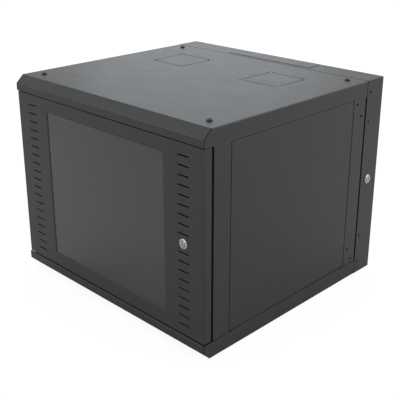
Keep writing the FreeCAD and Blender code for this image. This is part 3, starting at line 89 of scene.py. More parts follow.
class Shader:
    """A node material, built from small steps."""

    def __init__(self, name):
        self.material = bpy.data.materials.new(name)
        self.material.use_nodes = True
        self.tree = self.material.node_tree
        self.bsdf = self.tree.nodes["Principled BSDF"]
        self.output = self.tree.nodes["Material Output"]

    def node(self, kind, **settings):
        made = self.tree.nodes.new(kind)
        for name, value in settings.items():
            setattr(made, name, value)
        return made

    def join(self, start, end):
        self.tree.links.new(start, end)

    def coordinates(self):
        return self.node("ShaderNodeTexCoord").outputs["Object"]

    def noise(self, size, detail=2.0, roughness=0.5, stretch=None):
        """Noise whose features are about size metres across."""
        made = self.node("ShaderNodeTexNoise")
        made.inputs["Scale"].default_value = 1 / size
        made.inputs["Detail"].default_value = detail
        made.inputs["Roughness"].default_value = roughness
        start = self.coordinates()
        if stretch:
            mapping = self.node("ShaderNodeMapping")
            mapping.inputs["Scale"].default_value = stretch
            self.join(start, mapping.inputs["Vector"])
            start = mapping.outputs["Vector"]
        self.join(start, made.inputs["Vector"])
        return made.outputs["Fac"]

    def remap(self, value, low, high, to_low, to_high):
        made = self.node("ShaderNodeMapRange")
        made.inputs["From Min"].default_value = low
        made.inputs["From Max"].default_value = high
        made.inputs["To Min"].default_value = to_low
        made.inputs["To Max"].default_value = to_high
        self.join(value, made.inputs["Value"])
        return made.outputs["Result"]

    def math(self, operation, first, second):
        made = self.node("ShaderNodeMath", operation=operation)
        for socket, value in zip(made.inputs, (first, second)):
            if isinstance(value, (int, float)):
                socket.default_value = value
            else:
                self.join(value, socket)
        return made.outputs["Value"]

    def blend(self, amount, first, second):
        """A colour between two, by amount."""
        made = self.node("ShaderNodeMix", data_type="RGBA")
        for socket, value in ((made.inputs["A"], first), (made.inputs["B"], second)):
            if isinstance(value, (tuple, list)):
                socket.default_value = (*value[:3], 1)
            else:
                self.join(value, socket)
        self.join(amount, made.inputs["Factor"])
        return made.outputs["Result"]

    def rounded(self, radius):
        """The normal of the surface with its edges rounded to the radius."""
        bevel = self.node("ShaderNodeBevel", samples=6)
        bevel.inputs["Radius"].default_value = radius
        return bevel.outputs["Normal"]

    def edges(self, rounded):
        """1 on the edges that the rounded normal softens, 0 on flat stretches."""
        flat = self.node("ShaderNodeNewGeometry")
        dot = self.node("ShaderNodeVectorMath", operation="DOT_PRODUCT")
        self.join(rounded, dot.inputs[0])
        self.join(flat.outputs["Normal"], dot.inputs[1])
        return self.remap(dot.outputs["Value"], 0.99, 0.85, 0, 1)

    def bump(self, height, distance, strength, normal=None):
        made = self.node("ShaderNodeBump")
        made.inputs["Strength"].default_value = strength
        made.inputs["Distance"].default_value = distance
        self.join(height, made.inputs["Height"])
        if normal is not None:
            self.join(normal, made.inputs["Normal"])
        return made.outputs["Normal"]

    def set(self, **values):
        """Values or node outputs for the shader's own sockets, by name."""
        for name, value in values.items():
            socket = self.bsdf.inputs[name.replace("_", " ")]
            if isinstance(value, (int, float)):
                socket.default_value = value
            elif isinstance(value, (tuple, list)):
                socket.default_value = (*value[:3], 1)
            else:
                self.join(value, socket)


# ---------------------------------------------------------------- materials


def powder_coat(name, colour, worn):
    """Matt powder coat with a fine orange-peel skin, faint handling marks and rubbed edges."""
    s = Shader(name)
    peel = s.noise(0.0011, detail=1.5)
    grain = s.noise(0.00035, detail=1)
    cloud = s.noise(0.16, detail=3)
    smudge = s.noise(0.05, detail=4, roughness=0.6, stretch=(1, 1, 0.35))
    rounded = s.rounded(0.0006)
    edge = s.edges(rounded)
    speck = s.math("MULTIPLY", edge, s.remap(s.noise(0.004, detail=4), 0.52, 0.72, 0, 1))
    tone = s.blend(
        s.remap(cloud, 0.3, 0.7, 0, 1), [c * 0.95 for c in colour], [c * 1.05 for c in colour]
    )
    tone = s.blend(s.math("MULTIPLY", speck, 0.35), tone, worn)
    rough = s.math("ADD", s.remap(smudge, 0.35, 0.7, 0.43, 0.46), s.remap(grain, 0.3, 0.7, -0.02, 0.02))
    rough = s.math("SUBTRACT", rough, s.math("MULTIPLY", edge, 0.06))
    height = s.math("ADD", peel, s.math("MULTIPLY", grain, 0.35))
    s.set(Base_Color=tone, Roughness=rough, IOR=1.42)
    s.set(Normal=s.bump(height, 0.00006, 0.5, rounded))
    return s.material


def zinc(name, colour, roughness, grain):
    """Zinc-plated steel: a spangle of slightly different greys, and fine rolling lines."""
    s = Shader(name)
    spangle = s.node("ShaderNodeTexVoronoi", feature="F1")
    spangle.inputs["Scale"].default_value = 1 / 0.006
    s.join(s.coordinates(), spangle.inputs["Vector"])
    patch = s.node("ShaderNodeSeparateColor")
    s.join(spangle.outputs["Color"], patch.inputs["Color"])
    lines = s.noise(0.0006, detail=2, stretch=grain)
    tone = s.blend(patch.outputs["Red"], [c * 0.9 for c in colour], [c * 1.06 for c in colour])
    rough = s.remap(lines, 0.3, 0.7, roughness - 0.05, roughness + 0.07)
    s.set(Base_Color=tone, Metallic=1.0, Roughness=rough)
    s.set(Normal=s.bump(lines, 0.00002, 0.35, s.rounded(0.0004)))
    return s.material


def chrome(name):
    """Chrome plate, smeared by hands and scratched by keys."""
    s = Shader(name)
    scratch = s.noise(0.0008, detail=3, stretch=(1, 4, 1))
    smear = s.noise(0.006, detail=3)
    tone = s.blend(s.remap(smear, 0.3, 0.7, 0, 1), (0.30, 0.30, 0.31), (0.37, 0.37, 0.38))
    rough = s.math("ADD", s.remap(smear, 0.3, 0.7, 0.16, 0.24), s.remap(scratch, 0.4, 0.7, 0, 0.05))
    s.set(Base_Color=tone, Metallic=1.0, Roughness=rough)
    s.set(Normal=s.bump(scratch, 0.000005, 0.3, s.rounded(0.0003)))
    return s.material


def smoked_glass(name):
    """Dark clear glass, with a faint cloud in its tint."""
    s = Shader(name)
    smear = s.noise(0.07, detail=4, roughness=0.65, stretch=(1, 1, 0.5))
    haze = s.remap(smear, 0.45, 0.8, 0, 1)
    s.set(Base_Color=s.blend(haze, (0.05, 0.051, 0.054), (0.058, 0.059, 0.062)), IOR=1.64)
    s.set(Transmission_Weight=1.0, Roughness=0.0)
    return s.material


def rubber(name, colour):
    """Rubber with fine pores and a cloudy tone."""
    s = Shader(name)
    pores = s.noise(0.0006, detail=3)
    cloud = s.noise(0.01, detail=2)
    tone = s.blend(s.remap(cloud, 0.3, 0.7, 0, 1), [c * 0.8 for c in colour], [c * 1.25 for c in colour])
    s.set(Base_Color=tone, Roughness=s.remap(pores, 0.3, 0.7, 0.65, 0.85))
    s.set(Normal=s.bump(pores, 0.00005, 0.4))
    return s.material


def painted_seam_shade(name):
    """Painted shade for open seams: a near-black matt with no gloss that stands in for the shadow in a seam,
    with a little dust in it.
    """
    s = Shader(name)
    dust = s.noise(0.0015, detail=4)
    tone = s.blend(s.remap(dust, 0.45, 0.75, 0, 1), (0.0015, 0.0015, 0.0015), (0.008, 0.008, 0.008))
    s.set(Base_Color=tone)
    s.set(Roughness=s.remap(dust, 0.3, 0.7, 0.85, 1.0), Normal=s.bump(dust, 0.00005, 0.4))
    s.bsdf.inputs["Specular IOR Level"].default_value = 0.0
    return s.material


def nylon(name, colour):
    """Pale nylon with a fine grain."""
    s = Shader(name)
    grain = s.noise(0.0009, detail=2)
    tone = s.blend(s.remap(grain, 0.3, 0.7, 0, 1), [c * 0.95 for c in colour], colour)
    s.set(Base_Color=tone, Roughness=s.remap(grain, 0.3, 0.7, 0.42, 0.55), Subsurface_Weight=0.05)
    s.set(Normal=s.bump(grain, 0.00003, 0.3))
    return s.material


MATERIALS = {
    "black_powder_coat": powder_coat("powder_coat_black", (0.013, 0.0131, 0.0135), (0.05, 0.05, 0.05)),
    "black_hardware": powder_coat("black_zinc", (0.012, 0.012, 0.013), (0.12, 0.12, 0.12)),
    "zinc_sheet": zinc("zinc_sheet_metal", (0.62, 0.63, 0.64), 0.32, (1, 1, 0.05)),
    "zinc_hardware": zinc("zinc_plated_hardware", (0.60, 0.61, 0.62), 0.27, (1, 1, 1)),
    "lock_chrome": chrome("lock_chrome_plate"),
    "smoked_glass": smoked_glass("smoked_door_glass"),
    "black_rubber": rubber("black_seal_rubber", (0.03, 0.03, 0.03)),
    "nylon": nylon("washer_nylon", (0.75, 0.74, 0.70)),
}
# Near-black material of the painted shade strips along the seams.
SEAM_SHADOW = painted_seam_shade("seam_shadow")


# ---------------------------------------------------------------- meshes


def loft(levels, count=48, closed=False):
    """A form made of rings about the Z axis. Each level is a height and a radius, in millimetres. A radius
    may be a function of the angle, and 0 brings the form to a point. A closed form is a ring, whose last
    level joins its first."""
    form = bmesh.new()
    rings = []
    for height, radius in levels:
        ring = []
        for step in range(1 if radius == 0 else count):
            angle = 2 * math.pi * step / count
            reach = (radius(angle) if callable(radius) else radius) * MM
            ring.append(form.verts.new((reach * math.cos(angle), reach * math.sin(angle), height * MM)))
        rings.append(ring)
    pairs = list(zip(rings, rings[1:])) + ([(rings[-1], rings[0])] if closed else [])
    for low, high in pairs:
        for step in range(count):
            after = step + 1
            corners = (
                low[step % len(low)],
                low[after % len(low)],
                high[after % len(high)],
                high[step % len(high)],
            )
            form.faces.new(list(dict.fromkeys(corners)))
    bmesh.ops.recalc_face_normals(form, faces=form.faces)
    return form


def turned_to(axis):
    """A rotation that turns +Z to an axis, and keeps +Y upright where it can."""
    upright = Vector((0, 1, 0)) if abs(axis.z) > 0.9 else Vector((0, 0, 1))
    across = upright.cross(axis)
    return Matrix((across, upright, axis)).transposed().to_4x4()


class Piece:
    """A visible piece, put together from forms, that stands in for a CAD node or is added to it."""

    def __init__(self, name, node):
        self.name = name
        self.node = node
        self.mesh = bmesh.new()

    def add(self, form, spot=Vector(), axis=Vector((0, 0, 1))):
        """Takes in a form, with its origin at the spot and its +Z along the axis."""
        form.transform(Matrix.Translation(spot) @ turned_to(axis))
        data = bpy.data.meshes.new("part")
        form.to_mesh(data)
        form.free()
        self.mesh.from_mesh(data)
        bpy.data.meshes.remove(data)

    def finish(self, bevel=0.12, replaces=True, slot=None, material=None, body=None):
        data = bpy.data.meshes.new(self.name)
        self.mesh.to_mesh(data)
        self.mesh.free()
        for face in data.polygons:
            face.use_smooth = True
        data.set_sharp_from_angle(angle=math.radians(32))
        piece = bpy.data.objects.new(self.name, data)
        bpy.context.scene.collection.objects.link(piece)
        slot = slot or SLOT_OF[self.node]
        data.materials.append(material or MATERIALS[slot])
        if bevel:
            soften(piece, bevel * MM)
        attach(piece, body or BODY_OF[self.node])
        if replaces:
            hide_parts(self.node)
        return piece


def solids(name):
    """The low and high corner of each separate solid of a CAD node, in the order of its vertices."""
    mesh = bmesh.new()
    mesh.from_mesh(NODES[name].data)
    bmesh.ops.remove_doubles(mesh, verts=mesh.verts, dist=WELD)
    mesh.verts.index_update()
    seen = set()
    boxes = []
    for start in mesh.verts:
        if start.index in seen:
            continue
        seen.add(start.index)
        front = [start]
        low = start.co.copy()
        high = start.co.copy()
        while front:
            vertex = front.pop()
            for i in range(3):
                low[i] = min(low[i], vertex.co[i])
                high[i] = max(high[i], vertex.co[i])
            for edge in vertex.link_edges:
                other = edge.other_vert(vertex)
                if other.index not in seen:
                    seen.add(other.index)
                    front.append(other)
        boxes.append((low, high))
    mesh.free()
    return boxes


# ---------------------------------------------------------------- small forms


def hexagon(apothem, limit=99.0):
    """A hexagon whose corners are cut at a circle."""
    return lambda angle: min(limit, apothem / math.cos(angle % (math.pi / 3) - math.pi / 6))


def to_side(distance, share):
    """How far a straight side lies in a direction that has this share of the side's own."""
    return distance / max(abs(share), 0.001)


def cross(half_width, reach):
    """The opening of a cross recess."""

    def radius(angle):
        turn = angle % (math.pi / 2)
        turn = min(turn, math.pi / 2 - turn)
        return min(reach / math.cos(turn), to_side(half_width, math.sin(turn)))

    return radius


def oblong(half_x, half_y):
    return lambda angle: min(to_side(half_x, math.cos(angle)), to_side(half_y, math.sin(angle)))


def knurled(radius, depth, teeth):
    """A circle with rounded teeth."""
    return lambda angle: radius - depth * (0.5 + 0.5 * math.cos(teeth * angle))


def flatted(radius, half_width):
    """A circle with two flats."""
    return lambda angle: min(radius, to_side(half_width, math.cos(angle)))


def thread(low, high, radius, pitch, depth):
    """Levels of a screw thread."""

    def at(height):
        def reach(angle):
            phase = (height / pitch - angle / (2 * math.pi)) % 1
            return radius - depth * abs(2 * phase - 1)

        return reach

    steps = max(2, round(4 * (high - low) / pitch))
    return [(low + (high - low) * i / steps, at(low + (high - low) * i / steps)) for i in range(steps + 1)]


def dome(radius, low, high, top_radius, steps=6):
    """Levels of a rounded head."""
    levels = []
    for i in range(steps + 1):
        turn = math.pi / 2 * i / steps
        levels.append(
            (low + (high - low) * math.sin(turn), top_radius + (radius - top_radius) * math.cos(turn))
        )
    return levels


def shank(length, radius, pitch):
    """Levels of a threaded shank, from its tip up to the head's seat at height 0."""
    start = -length + 0.5
    ends = [(-length, 0), (-length, radius * 0.8)]
    return ends + thread(start, -0.8, radius, pitch, 0.45) + [(-0.4, radius), (0, radius)]


def socket_bolt(length, radius, height):
    """A button head with a hexagon socket."""
    hole = hexagon(2.0)
    head = [(0, radius - 0.35), (0.35, radius)] + dome(radius, 1.4, height, 3.3)
    recess = [(height, hexagon(2.35)), (height - 0.3, hole), (height - 2.3, hole), (height - 2.8, 0)]
    return loft(shank(length, 3, 1.0) + head + recess)


def flange_bolt(length, radius, height):
    """A hexagon head on a flange."""
    grip = hexagon(3.9, 4.35)
    head = [(0, radius - 0.3), (0.3, radius), (0.9, radius - 0.2), (1.3, grip), (height - 0.4, grip)]
    top = [(height, 3.7), (height, 3.0), (height - 0.35, 2.4), (height - 0.35, 0)]
    return loft(shank(length, 3, 1.0) + head + top)


def cross_screw(shaft):
    """A maker of pan heads with a cross recess, on a shank of this radius."""

    def make(length, radius, height):
        reach = min(radius * 0.55, 2.6)
        head = [(0, radius - 0.25), (0.25, radius)] + dome(radius, 0.7, height, radius * 0.62)
        recess = [(height, cross(0.75, reach)), (height - 1.0, cross(0.5, reach * 0.6)), (height - 1.5, 0)]
        return loft(shank(length, shaft, 0.8) + head + recess)

    return make


def hinge_pin(length, radius, height):
    """A plain pin with a low domed head and a tapered tip."""
    shaft = [(-length, 0), (-length, 1.7), (-length + 0.8, 2.5), (0, 2.5)]
    head = [(0, radius - 0.2), (0.25, radius)] + dome(radius, 0.8, height, 1.2) + [(height, 0)]
    return loft(shaft + head)


def hex_nut(height, apothem, bore):
    """A nut with chamfered corners and bore; its free end is at the height."""
    corner = apothem * 1.12
    grip = hexagon(apothem, corner)
    outside = [(0, apothem * 0.97), (0.35, grip), (height - 0.5, grip), (height, apothem * 0.95)]
    inside = [(height, bore + 0.45), (height - 0.45, bore), (0.4, bore), (0, bore + 0.4)]
    return loft(outside + inside, closed=True)


def clinch_nut(height, radius, bore):
    """A round nut with a knurled collar, pressed into a sheet."""
    teeth = knurled(radius, 0.3, 24)
    collar = radius - 0.7
    outside = [(0, radius - 0.3), (0.3, teeth), (height * 0.4, teeth), (height * 0.45, collar)]
    top = [(height - 0.3, collar), (height, collar - 0.35), (height, bore + 0.3), (height - 0.3, bore)]
    return loft(outside + top + [(0.3, bore), (0, bore + 0.3)], closed=True)


def cam_bolt(length, radius, height):
    """A small hexagon head on a washer face, which holds a lock's cam."""
    grip = hexagon(3.2, 3.6)
    shaft = [(-length, 0), (-length, 1.5)] + thread(-length + 0.4, -0.6, 2.0, 0.7, 0.3) + [(0, 2.0)]
    head = [(0, radius - 0.2), (0.2, radius), (0.8, radius), (0.9, 3.8), (1.0, grip), (height - 0.3, grip)]
    return loft(shaft + head + [(height, 3.0), (height, 0)])


def lock_ring(length, radius):
    """The body of a lock: a domed ring on the sheet, and a threaded and flatted barrel behind it."""
    back = LOCK_HEAD - length
    barrel = flatted(BARREL_RADIUS, BARREL_HALF_FLAT)
    groove = flatted(BARREL_RADIUS - BARREL_GROOVE, BARREL_HALF_FLAT)
    outside = [(back, BARREL_RADIUS - 0.6), (back + 0.5, barrel)]
    for step in range(int((-back - 2) / BARREL_STEP)):
        outside.append((back + 1 + BARREL_STEP * step, groove if step % 2 else barrel))
    ring = [(0, BARREL_RADIUS), (0, radius - 0.4), (0.4, radius), (0.9, radius)]
    ring += dome(radius, 0.9, LOCK_HEAD, 7.2)
    inside = [(LOCK_HEAD, 6.9), (LOCK_HEAD - 0.4, 6.5), (LOCK_HEAD - 0.7, 6.3)]
    inside += [(LOCK_HEAD - 0.7, LOCK_BORE), (back, LOCK_BORE)]
    return loft(outside + ring + inside, closed=True)


def key_plug(length, radius, top):
    """The plug of a lock, up to its top, with a chamfered key slot."""
    slot = oblong(0.85, 3.8)
    rim = [(top - length, 0), (top - length, radius), (top - 0.9, radius)]
    crown = dome(radius, top - 0.9, top, radius - 0.8, 4)
    recess = [(top, oblong(1.15, 4.1)), (top - 0.35, slot), (top - 5.5, slot), (top - 6, 0)]
    return loft(rim + crown + recess, count=72)


def buffer(height, radius):
    """A rubber buffer with a dimple in its rounded top."""
    rim = [(0, 0), (0, radius - 0.3), (0.3, radius), (height * 0.55, radius)]
    top = dome(radius, height * 0.55, height, radius - 1.4) + [(height, 1.5), (height - 0.6, 1.0)]
    return loft(rim + top + [(height - 0.6, 0)])


def washer(height, radius, bore):
    """A flat ring with small chamfers."""
    outside = [(0, radius - 0.3), (0.3, radius), (height - 0.3, radius), (height, radius - 0.3)]
    inside = [(height, bore + 0.3), (height - 0.3, bore), (0.3, bore), (0, bore + 0.3)]
    return loft(outside + inside, closed=True)


# ---------------------------------------------------------------- fasteners, locks and small parts


def outward(part):
    """The way out of the cabinet along one of the axes, from where a piece is."""
    return lambda middle: Vector([math.copysign(1, middle[i]) if i == part else 0 for i in range(3)])


def inward(part):
    return lambda middle: -outward(part)(middle)


def leftward(middle):
    return Vector((-1, 0, 0))


def upward(middle):
    return Vector((0, 0, 1))


def along(low, high, axis):
    """How far a box reaches along an axis: its length, half its width, and the middle of its far end."""
    size = high - low
    i = max(range(3), key=lambda k: abs(axis[k]))
    widths = [size[k] for k in range(3) if k != i]
    end = (low + high) / 2 + axis * size[i] / 2
    return size[i] / MM, min(widths) / 2 / MM, end


# Screws, bolts and pins: their form, the height of the head, and the way that the head faces.
BOLTS = {
    "cover_bolts": (socket_bolt, 4.0, outward(2)),
    "rack_rail_bolts": (flange_bolt, 4.0, inward(0)),
    "side_panel_screws": (cross_screw(2.0), 2.4, inward(0)),
    "swing_hinge_screws": (cross_screw(3.0), 2.4, leftward),
    "wall_hinge_screws": (cross_screw(3.0), 2.4, leftward),
    "swing_hinge_pins": (hinge_pin, 2.0, upward),
}

# Nuts: their form, and the radius of the bore for its thread.
M4_BORE = 2.05
M6_BORE = 3.05
NUTS = {
    "frame_nuts": (hex_nut, M6_BORE),
    "cable_cover_nuts": (hex_nut, M4_BORE),
    "swing_clinch_nuts": (clinch_nut, M6_BORE),
    "wall_clinch_nuts": (clinch_nut, M6_BORE),
}

# Cam locks: the height of the ring on the sheet, the bores, the barrel with its two flats, and the height of
# half a turn and the depth of the barrel's thread.
LOCK_HEAD = 2.8
LOCK_BORE = 6.05
LOCK_NUT_BORE = 8.95
BARREL_RADIUS = 8.9
BARREL_HALF_FLAT = 8.1
BARREL_STEP = 0.6
BARREL_GROOVE = 0.4
CAM_BOLT_HEAD = 3

WASHER_BORE = 3.1

# The spring of the door's upper pin: half the width of its wire, its turns, and the steps of its mesh along a
# turn and around the wire.
SPRING_WIRE = 0.5
SPRING_TURNS = 9
SPRING_STEPS = 32
SPRING_SIDES = 10


def seat(piece, shape, low, high, axis, *sizes):
    """Adds a form that fills a box, with its foot at one end of the box and its top where the axis points."""
    height, radius, end = along(low, high, axis)
    piece.add(shape(height, radius, *sizes), end - axis * height * MM, axis)


def make_bolts():
    """Screws, bolts and pins with real heads and threads. The head is at the end that the axis points to."""
    for name, (shape, head, facing) in BOLTS.items():
        piece = Piece(f"{name}_shaped", name)
        for low, high in solids(name):
            axis = facing((low + high) / 2)
            length, radius, end = along(low, high, axis)
            piece.add(shape(length - head, radius, head), end - axis * head * MM, axis)
        piece.finish()


def nut_axis(shape, low, high):
    """The way the free end of a nut faces, away from the sheet that carries it."""
    middle = (low + high) / 2
    if shape is clinch_nut:
        return inward(0)(middle)
    size = high - low
    lies_flat = size.z < min(size.x, size.y)
    return inward(2)(middle) if lies_flat else outward(0)(middle)


def make_nuts():
    for name, (shape, bore) in NUTS.items():
        piece = Piece(f"{name}_shaped", name)
        for low, high in solids(name):
            seat(piece, shape, low, high, nut_axis(shape, low, high), bore)
        piece.finish()


def make_locks():
    """The two cam locks, each with a ring, a key plug, a nut and the bolt of its cam."""
    for side, axis in (("front", Vector((0, -1, 0))), ("side", Vector((1, 0, 0)))):
        length, radius, face = along(*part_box(f"{side}_lock_body"), axis)
        sheet = face - axis * LOCK_HEAD * MM
        body = Piece(f"{side}_lock_ring", f"{side}_lock_body")
        body.add(lock_ring(length, radius), sheet, axis)
        body.finish()

        length, radius, face = along(*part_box(f"{side}_lock_plug"), axis)
        plug = Piece(f"{side}_lock_key_plug", f"{side}_lock_plug")
        plug.add(key_plug(length, radius, (face - sheet).dot(axis) / MM), sheet, axis)
        plug.finish(bevel=0.05)

        nut = Piece(f"{side}_lock_hex_nut", f"{side}_lock_nut")
        seat(nut, hex_nut, *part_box(f"{side}_lock_nut"), -axis, LOCK_NUT_BORE)
        nut.finish()

        length, radius, end = along(*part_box(f"{side}_cam_screw"), -axis)
        screw = Piece(f"{side}_cam_bolt", f"{side}_cam_screw")
        foot = end + axis * CAM_BOLT_HEAD * MM
        screw.add(cam_bolt(length - CAM_BOLT_HEAD, radius, CAM_BOLT_HEAD), foot, -axis)
        screw.finish()


def make_small_parts():
    """The rubber buffers and the nylon washer of the door."""
    buffers = Piece("door_buffers_moulded", "door_buffers")
    for low, high in solids("door_buffers"):
        seat(buffers, buffer, low, high, Vector((0, -1, 0)))
    buffers.finish(bevel=0)
    ring = Piece("door_washer_moulded", "door_thrust_washer")
    seat(ring, washer, *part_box("door_thrust_washer"), Vector((0, 0, 1)), WASHER_BORE)
    ring.finish(bevel=0)


def add_bar(mesh, rings):
    """A closed bar through rings that have as many corners each."""
    loops = [[mesh.verts.new(corner) for corner in ring] for ring in rings]
    for first, second in zip(loops, loops[1:]):
        for i in range(len(first)):
            j = (i + 1) % len(first)
            mesh.faces.new((first[i], first[j], second[j], second[i]))
    mesh.faces.new(loops[0])
    mesh.faces.new(loops[-1])
    bmesh.ops.recalc_face_normals(mesh, faces=mesh.faces)


def make_spring():
    """The spring of the door's upper pin, with closed end turns. It stands in the bracket."""
    low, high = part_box("door_pin_spring")
    middle = (low + high) / 2
    wire = SPRING_WIRE * MM
    coil = (high.x - low.x) / 2 - wire
    open_height = high.z - low.z - 6 * wire
    rings = []
    for step in range(SPRING_TURNS * SPRING_STEPS + 1):
        turns = step / SPRING_STEPS
        angle = 2 * math.pi * turns
        end_turns = min(turns, 1) + max(turns - SPRING_TURNS + 1, 0)
        open_share = min(max((turns - 1) / (SPRING_TURNS - 2), 0), 1)
        height = low.z + wire + end_turns * 2 * wire + open_share * open_height
        ring = []
        for k in range(SPRING_SIDES):
            around = 2 * math.pi * k / SPRING_SIDES
            reach = coil + wire * math.cos(around)
            x = middle.x + reach * math.cos(angle)
            y = middle.y + reach * math.sin(angle)
            ring.append((x, y, height + wire * math.sin(around)))
        rings.append(ring)
    spring = Piece("door_pin_coil_spring", "door_pin_spring")
    add_bar(spring.mesh, rings)
    piece = spring.finish(bevel=0, body="front_door")
    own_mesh(piece)


# ---------------------------------------------------------------- bead and painted seam shade

# How far the glass reaches behind the door's sheet, and the bead's section: how far in from the edge of the
# window, and how far behind the front of the glass.
GLASS_OVERLAP = 12
BEAD_SECTION = (
    (-0.05, 0.05),
    (1.1, 0.05),
    (1.0, -0.12),
    (0.6, -0.35),
    (0.3, -0.75),
    (0.1, -1.25),
    (-0.05, -1.3),
)

# The folded fronts of the covers: the depth and drop of the sloped face, and the height of the lip.
COVER_FRONTS = {"top_cover": (19, 18, 34.4), "bottom_cover": (16.5, 16.2, 34.4)}

# A painted shade strip along a seam: its width, how far in from the side it lies, how far it stands out of
# the sheet and how far it goes into it, and its section.
SHADE_STRIP_WIDTH = 1.0
SHADE_STRIP_INSET = 0.3
SHADE_STRIP_PROUD = 0.12
SHADE_STRIP_SUNK = 0.4
SHADE_STRIP_SECTION = ((0, -SHADE_STRIP_SUNK), (0, SHADE_STRIP_PROUD), (-SHADE_STRIP_WIDTH, SHADE_STRIP_PROUD), (-SHADE_STRIP_WIDTH, -SHADE_STRIP_SUNK))


def make_glazing_bead():
    """A rubber bead in the corner between the edge of the door's window and the glass."""
    low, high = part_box("door_glass")
    bead = Piece("glazing_bead", "glass_seal")
    loops = []
    for inset, depth in BEAD_SECTION:
        edge = (GLASS_OVERLAP + inset) * MM
        left, right = low.x + edge, high.x - edge
        bottom, top = low.z + edge, high.z - edge
        y = low.y + depth * MM
        corners = ((left, y, bottom), (right, y, bottom), (right, y, top), (left, y, top))
        loops.append([bead.mesh.verts.new(corner) for corner in corners])
    for index, loop in enumerate(loops):
        after = loops[(index + 1) % len(loops)]
        for i in range(4):
            j = (i + 1) % 4
            bead.mesh.faces.new((loop[i], loop[j], after[j], after[i]))
    bmesh.ops.recalc_face_normals(bead.mesh, faces=bead.mesh.faces)
    bead.finish(bevel=0, replaces=False)


def make_corner_seam_shades():
    """Thin near-black strips of painted shade along the corners between the folded front of each cover and
    its two sides, where the open seams are.
    """
    for name, (depth, drop, lip) in COVER_FRONTS.items():
        low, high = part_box(name)
        way = 1 if name == "top_cover" else -1
        face = high.z if way > 0 else low.z
        path = [(low.y, face - way * lip * MM), (low.y, face - way * drop * MM), (low.y + depth * MM, face)]
        slope = Vector((drop, depth)).normalized()
        faces = [Vector((-1, 0)), Vector((-1 - slope.x, slope.y)).normalized(), Vector((-slope.x, slope.y))]
        seam = Piece(f"{name}_corner_shade_strips", name)
        for x in (high.x - SHADE_STRIP_INSET * MM, low.x + (SHADE_STRIP_INSET + SHADE_STRIP_WIDTH) * MM):
            rings = []
            for (y, z), normal in zip(path, faces):
                ring = []
                for across, out in SHADE_STRIP_SECTION:
                    ring.append((x + across * MM, y + normal.x * out * MM, z + way * normal.y * out * MM))
                rings.append(ring)
            add_bar(seam.mesh, rings)
        seam.finish(bevel=0, replaces=False, slot="black_rubber", material=SEAM_SHADOW)


def make_foot_seam_shades():
    """Thin near-black strips of painted shade along the joins between the feet of the corner posts and the
    bottom cover.
    """
    low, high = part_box("bottom_cover")
    for end in ("front", "rear"):
        seam = Piece(f"{end}_post_foot_shade_strips", f"{end}_post_right")
        for side, face, way in (("left", low.x, -1), ("right", high.x, 1)):
            start, stop = (corner.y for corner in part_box(f"{end}_post_{side}"))
            outside = face + way * SHADE_STRIP_PROUD * MM
            inside = face - way * SHADE_STRIP_SUNK * MM
            bottom = high.z - SHADE_STRIP_WIDTH / 2 * MM
            top = high.z + SHADE_STRIP_WIDTH / 2 * MM
            section = ((outside, bottom), (outside, top), (inside, top), (inside, bottom))
            add_bar(seam.mesh, [[(x, y, z) for x, z in section] for y in (start, stop)])
        seam.finish(bevel=0, replaces=False, slot="black_rubber", material=SEAM_SHADOW)

# ---------------------------------------------------------------- CAD nodes


def soften(piece, width):
    """Joins the loose faces of a piece and rounds its sharp edges, so that they catch the light."""
    weld = piece.modifiers.new("weld", "WELD")
    weld.merge_threshold = WELD
    bevel = piece.modifiers.new("soft_edges", "BEVEL")
    bevel.width = width
    bevel.segments = 2
    bevel.limit_method = "ANGLE"
    bevel.angle_limit = math.radians(35)
    bevel.use_clamp_overlap = True
    bevel.harden_normals = True


def dress_nodes():
    """Every CAD node gets the finished material of its slot, and softened edges."""
    for part in RECORD["subparts"]:
        node = NODES[part["node"]]
        slot = part["material_slot"]
        node.data.materials.clear()
        node.data.materials.append(MATERIALS[slot])
        soften(node, EDGES.get(part["node"], SLOT_EDGES[slot]))


# ---------------------------------------------------------------- stage, light and camera

STUDIO_LIGHT = 0.86
WHITE = (1.0, 1.0, 1.0)
COOL_WHITE = (0.95, 0.98, 1.0)
COOL_LAMP = (0.88, 0.94, 1.0)

# The pale floor: its side, and how much of what the camera sees of it is even white light.
FLOOR_SIDE = 14
FLOOR_GLOW = 1.06
FLOOR_GLOW_SHARE = 0.87

# Lamps: name, place, width, height, watts and colour. Each points at the middle of the cabinet.
SOFTBOXES = (
    ("overhead_softbox", (-0.3, -0.5, 2.4), 2.4, 2.4, 12, WHITE),
    ("rear_left_softbox", (-2.2, 1.95, 1.1), 1.6, 1.3, 7.8, COOL_LAMP),
    ("right_rear_softbox", (2.4, 0.6, 0.9), 1.4, 1.4, 9, WHITE),
)

# Lamps that show only as gloss on edges and locks.
SHEENS = (
    ("rear_sheen", (0.95, 1.85, 1.8), 1.4, 1.4, 26, WHITE),
    ("right_sheen", (1.8, 0.7, 1.3), 0.9, 0.9, 20, WHITE),
    ("left_sheen", (-0.95, -2.1, 1.4), 0.8, 0.8, 16, WHITE),
    ("front_sheen", (-0.1, -2.9, 0.6), 0.8, 0.8, 12, WHITE),
)

# The camera: its place and view, its lens in millimetres, and its shift as a share of the frame.
CAMERA_PLACE = (1.183745, -1.482245, 0.634127)
CAMERA_VIEW = Vector((-0.6603, 0.6663, -0.3466))
CAMERA_LENS = 68.09
CAMERA_SHIFT = -0.078
SENSOR_WIDTH = 36


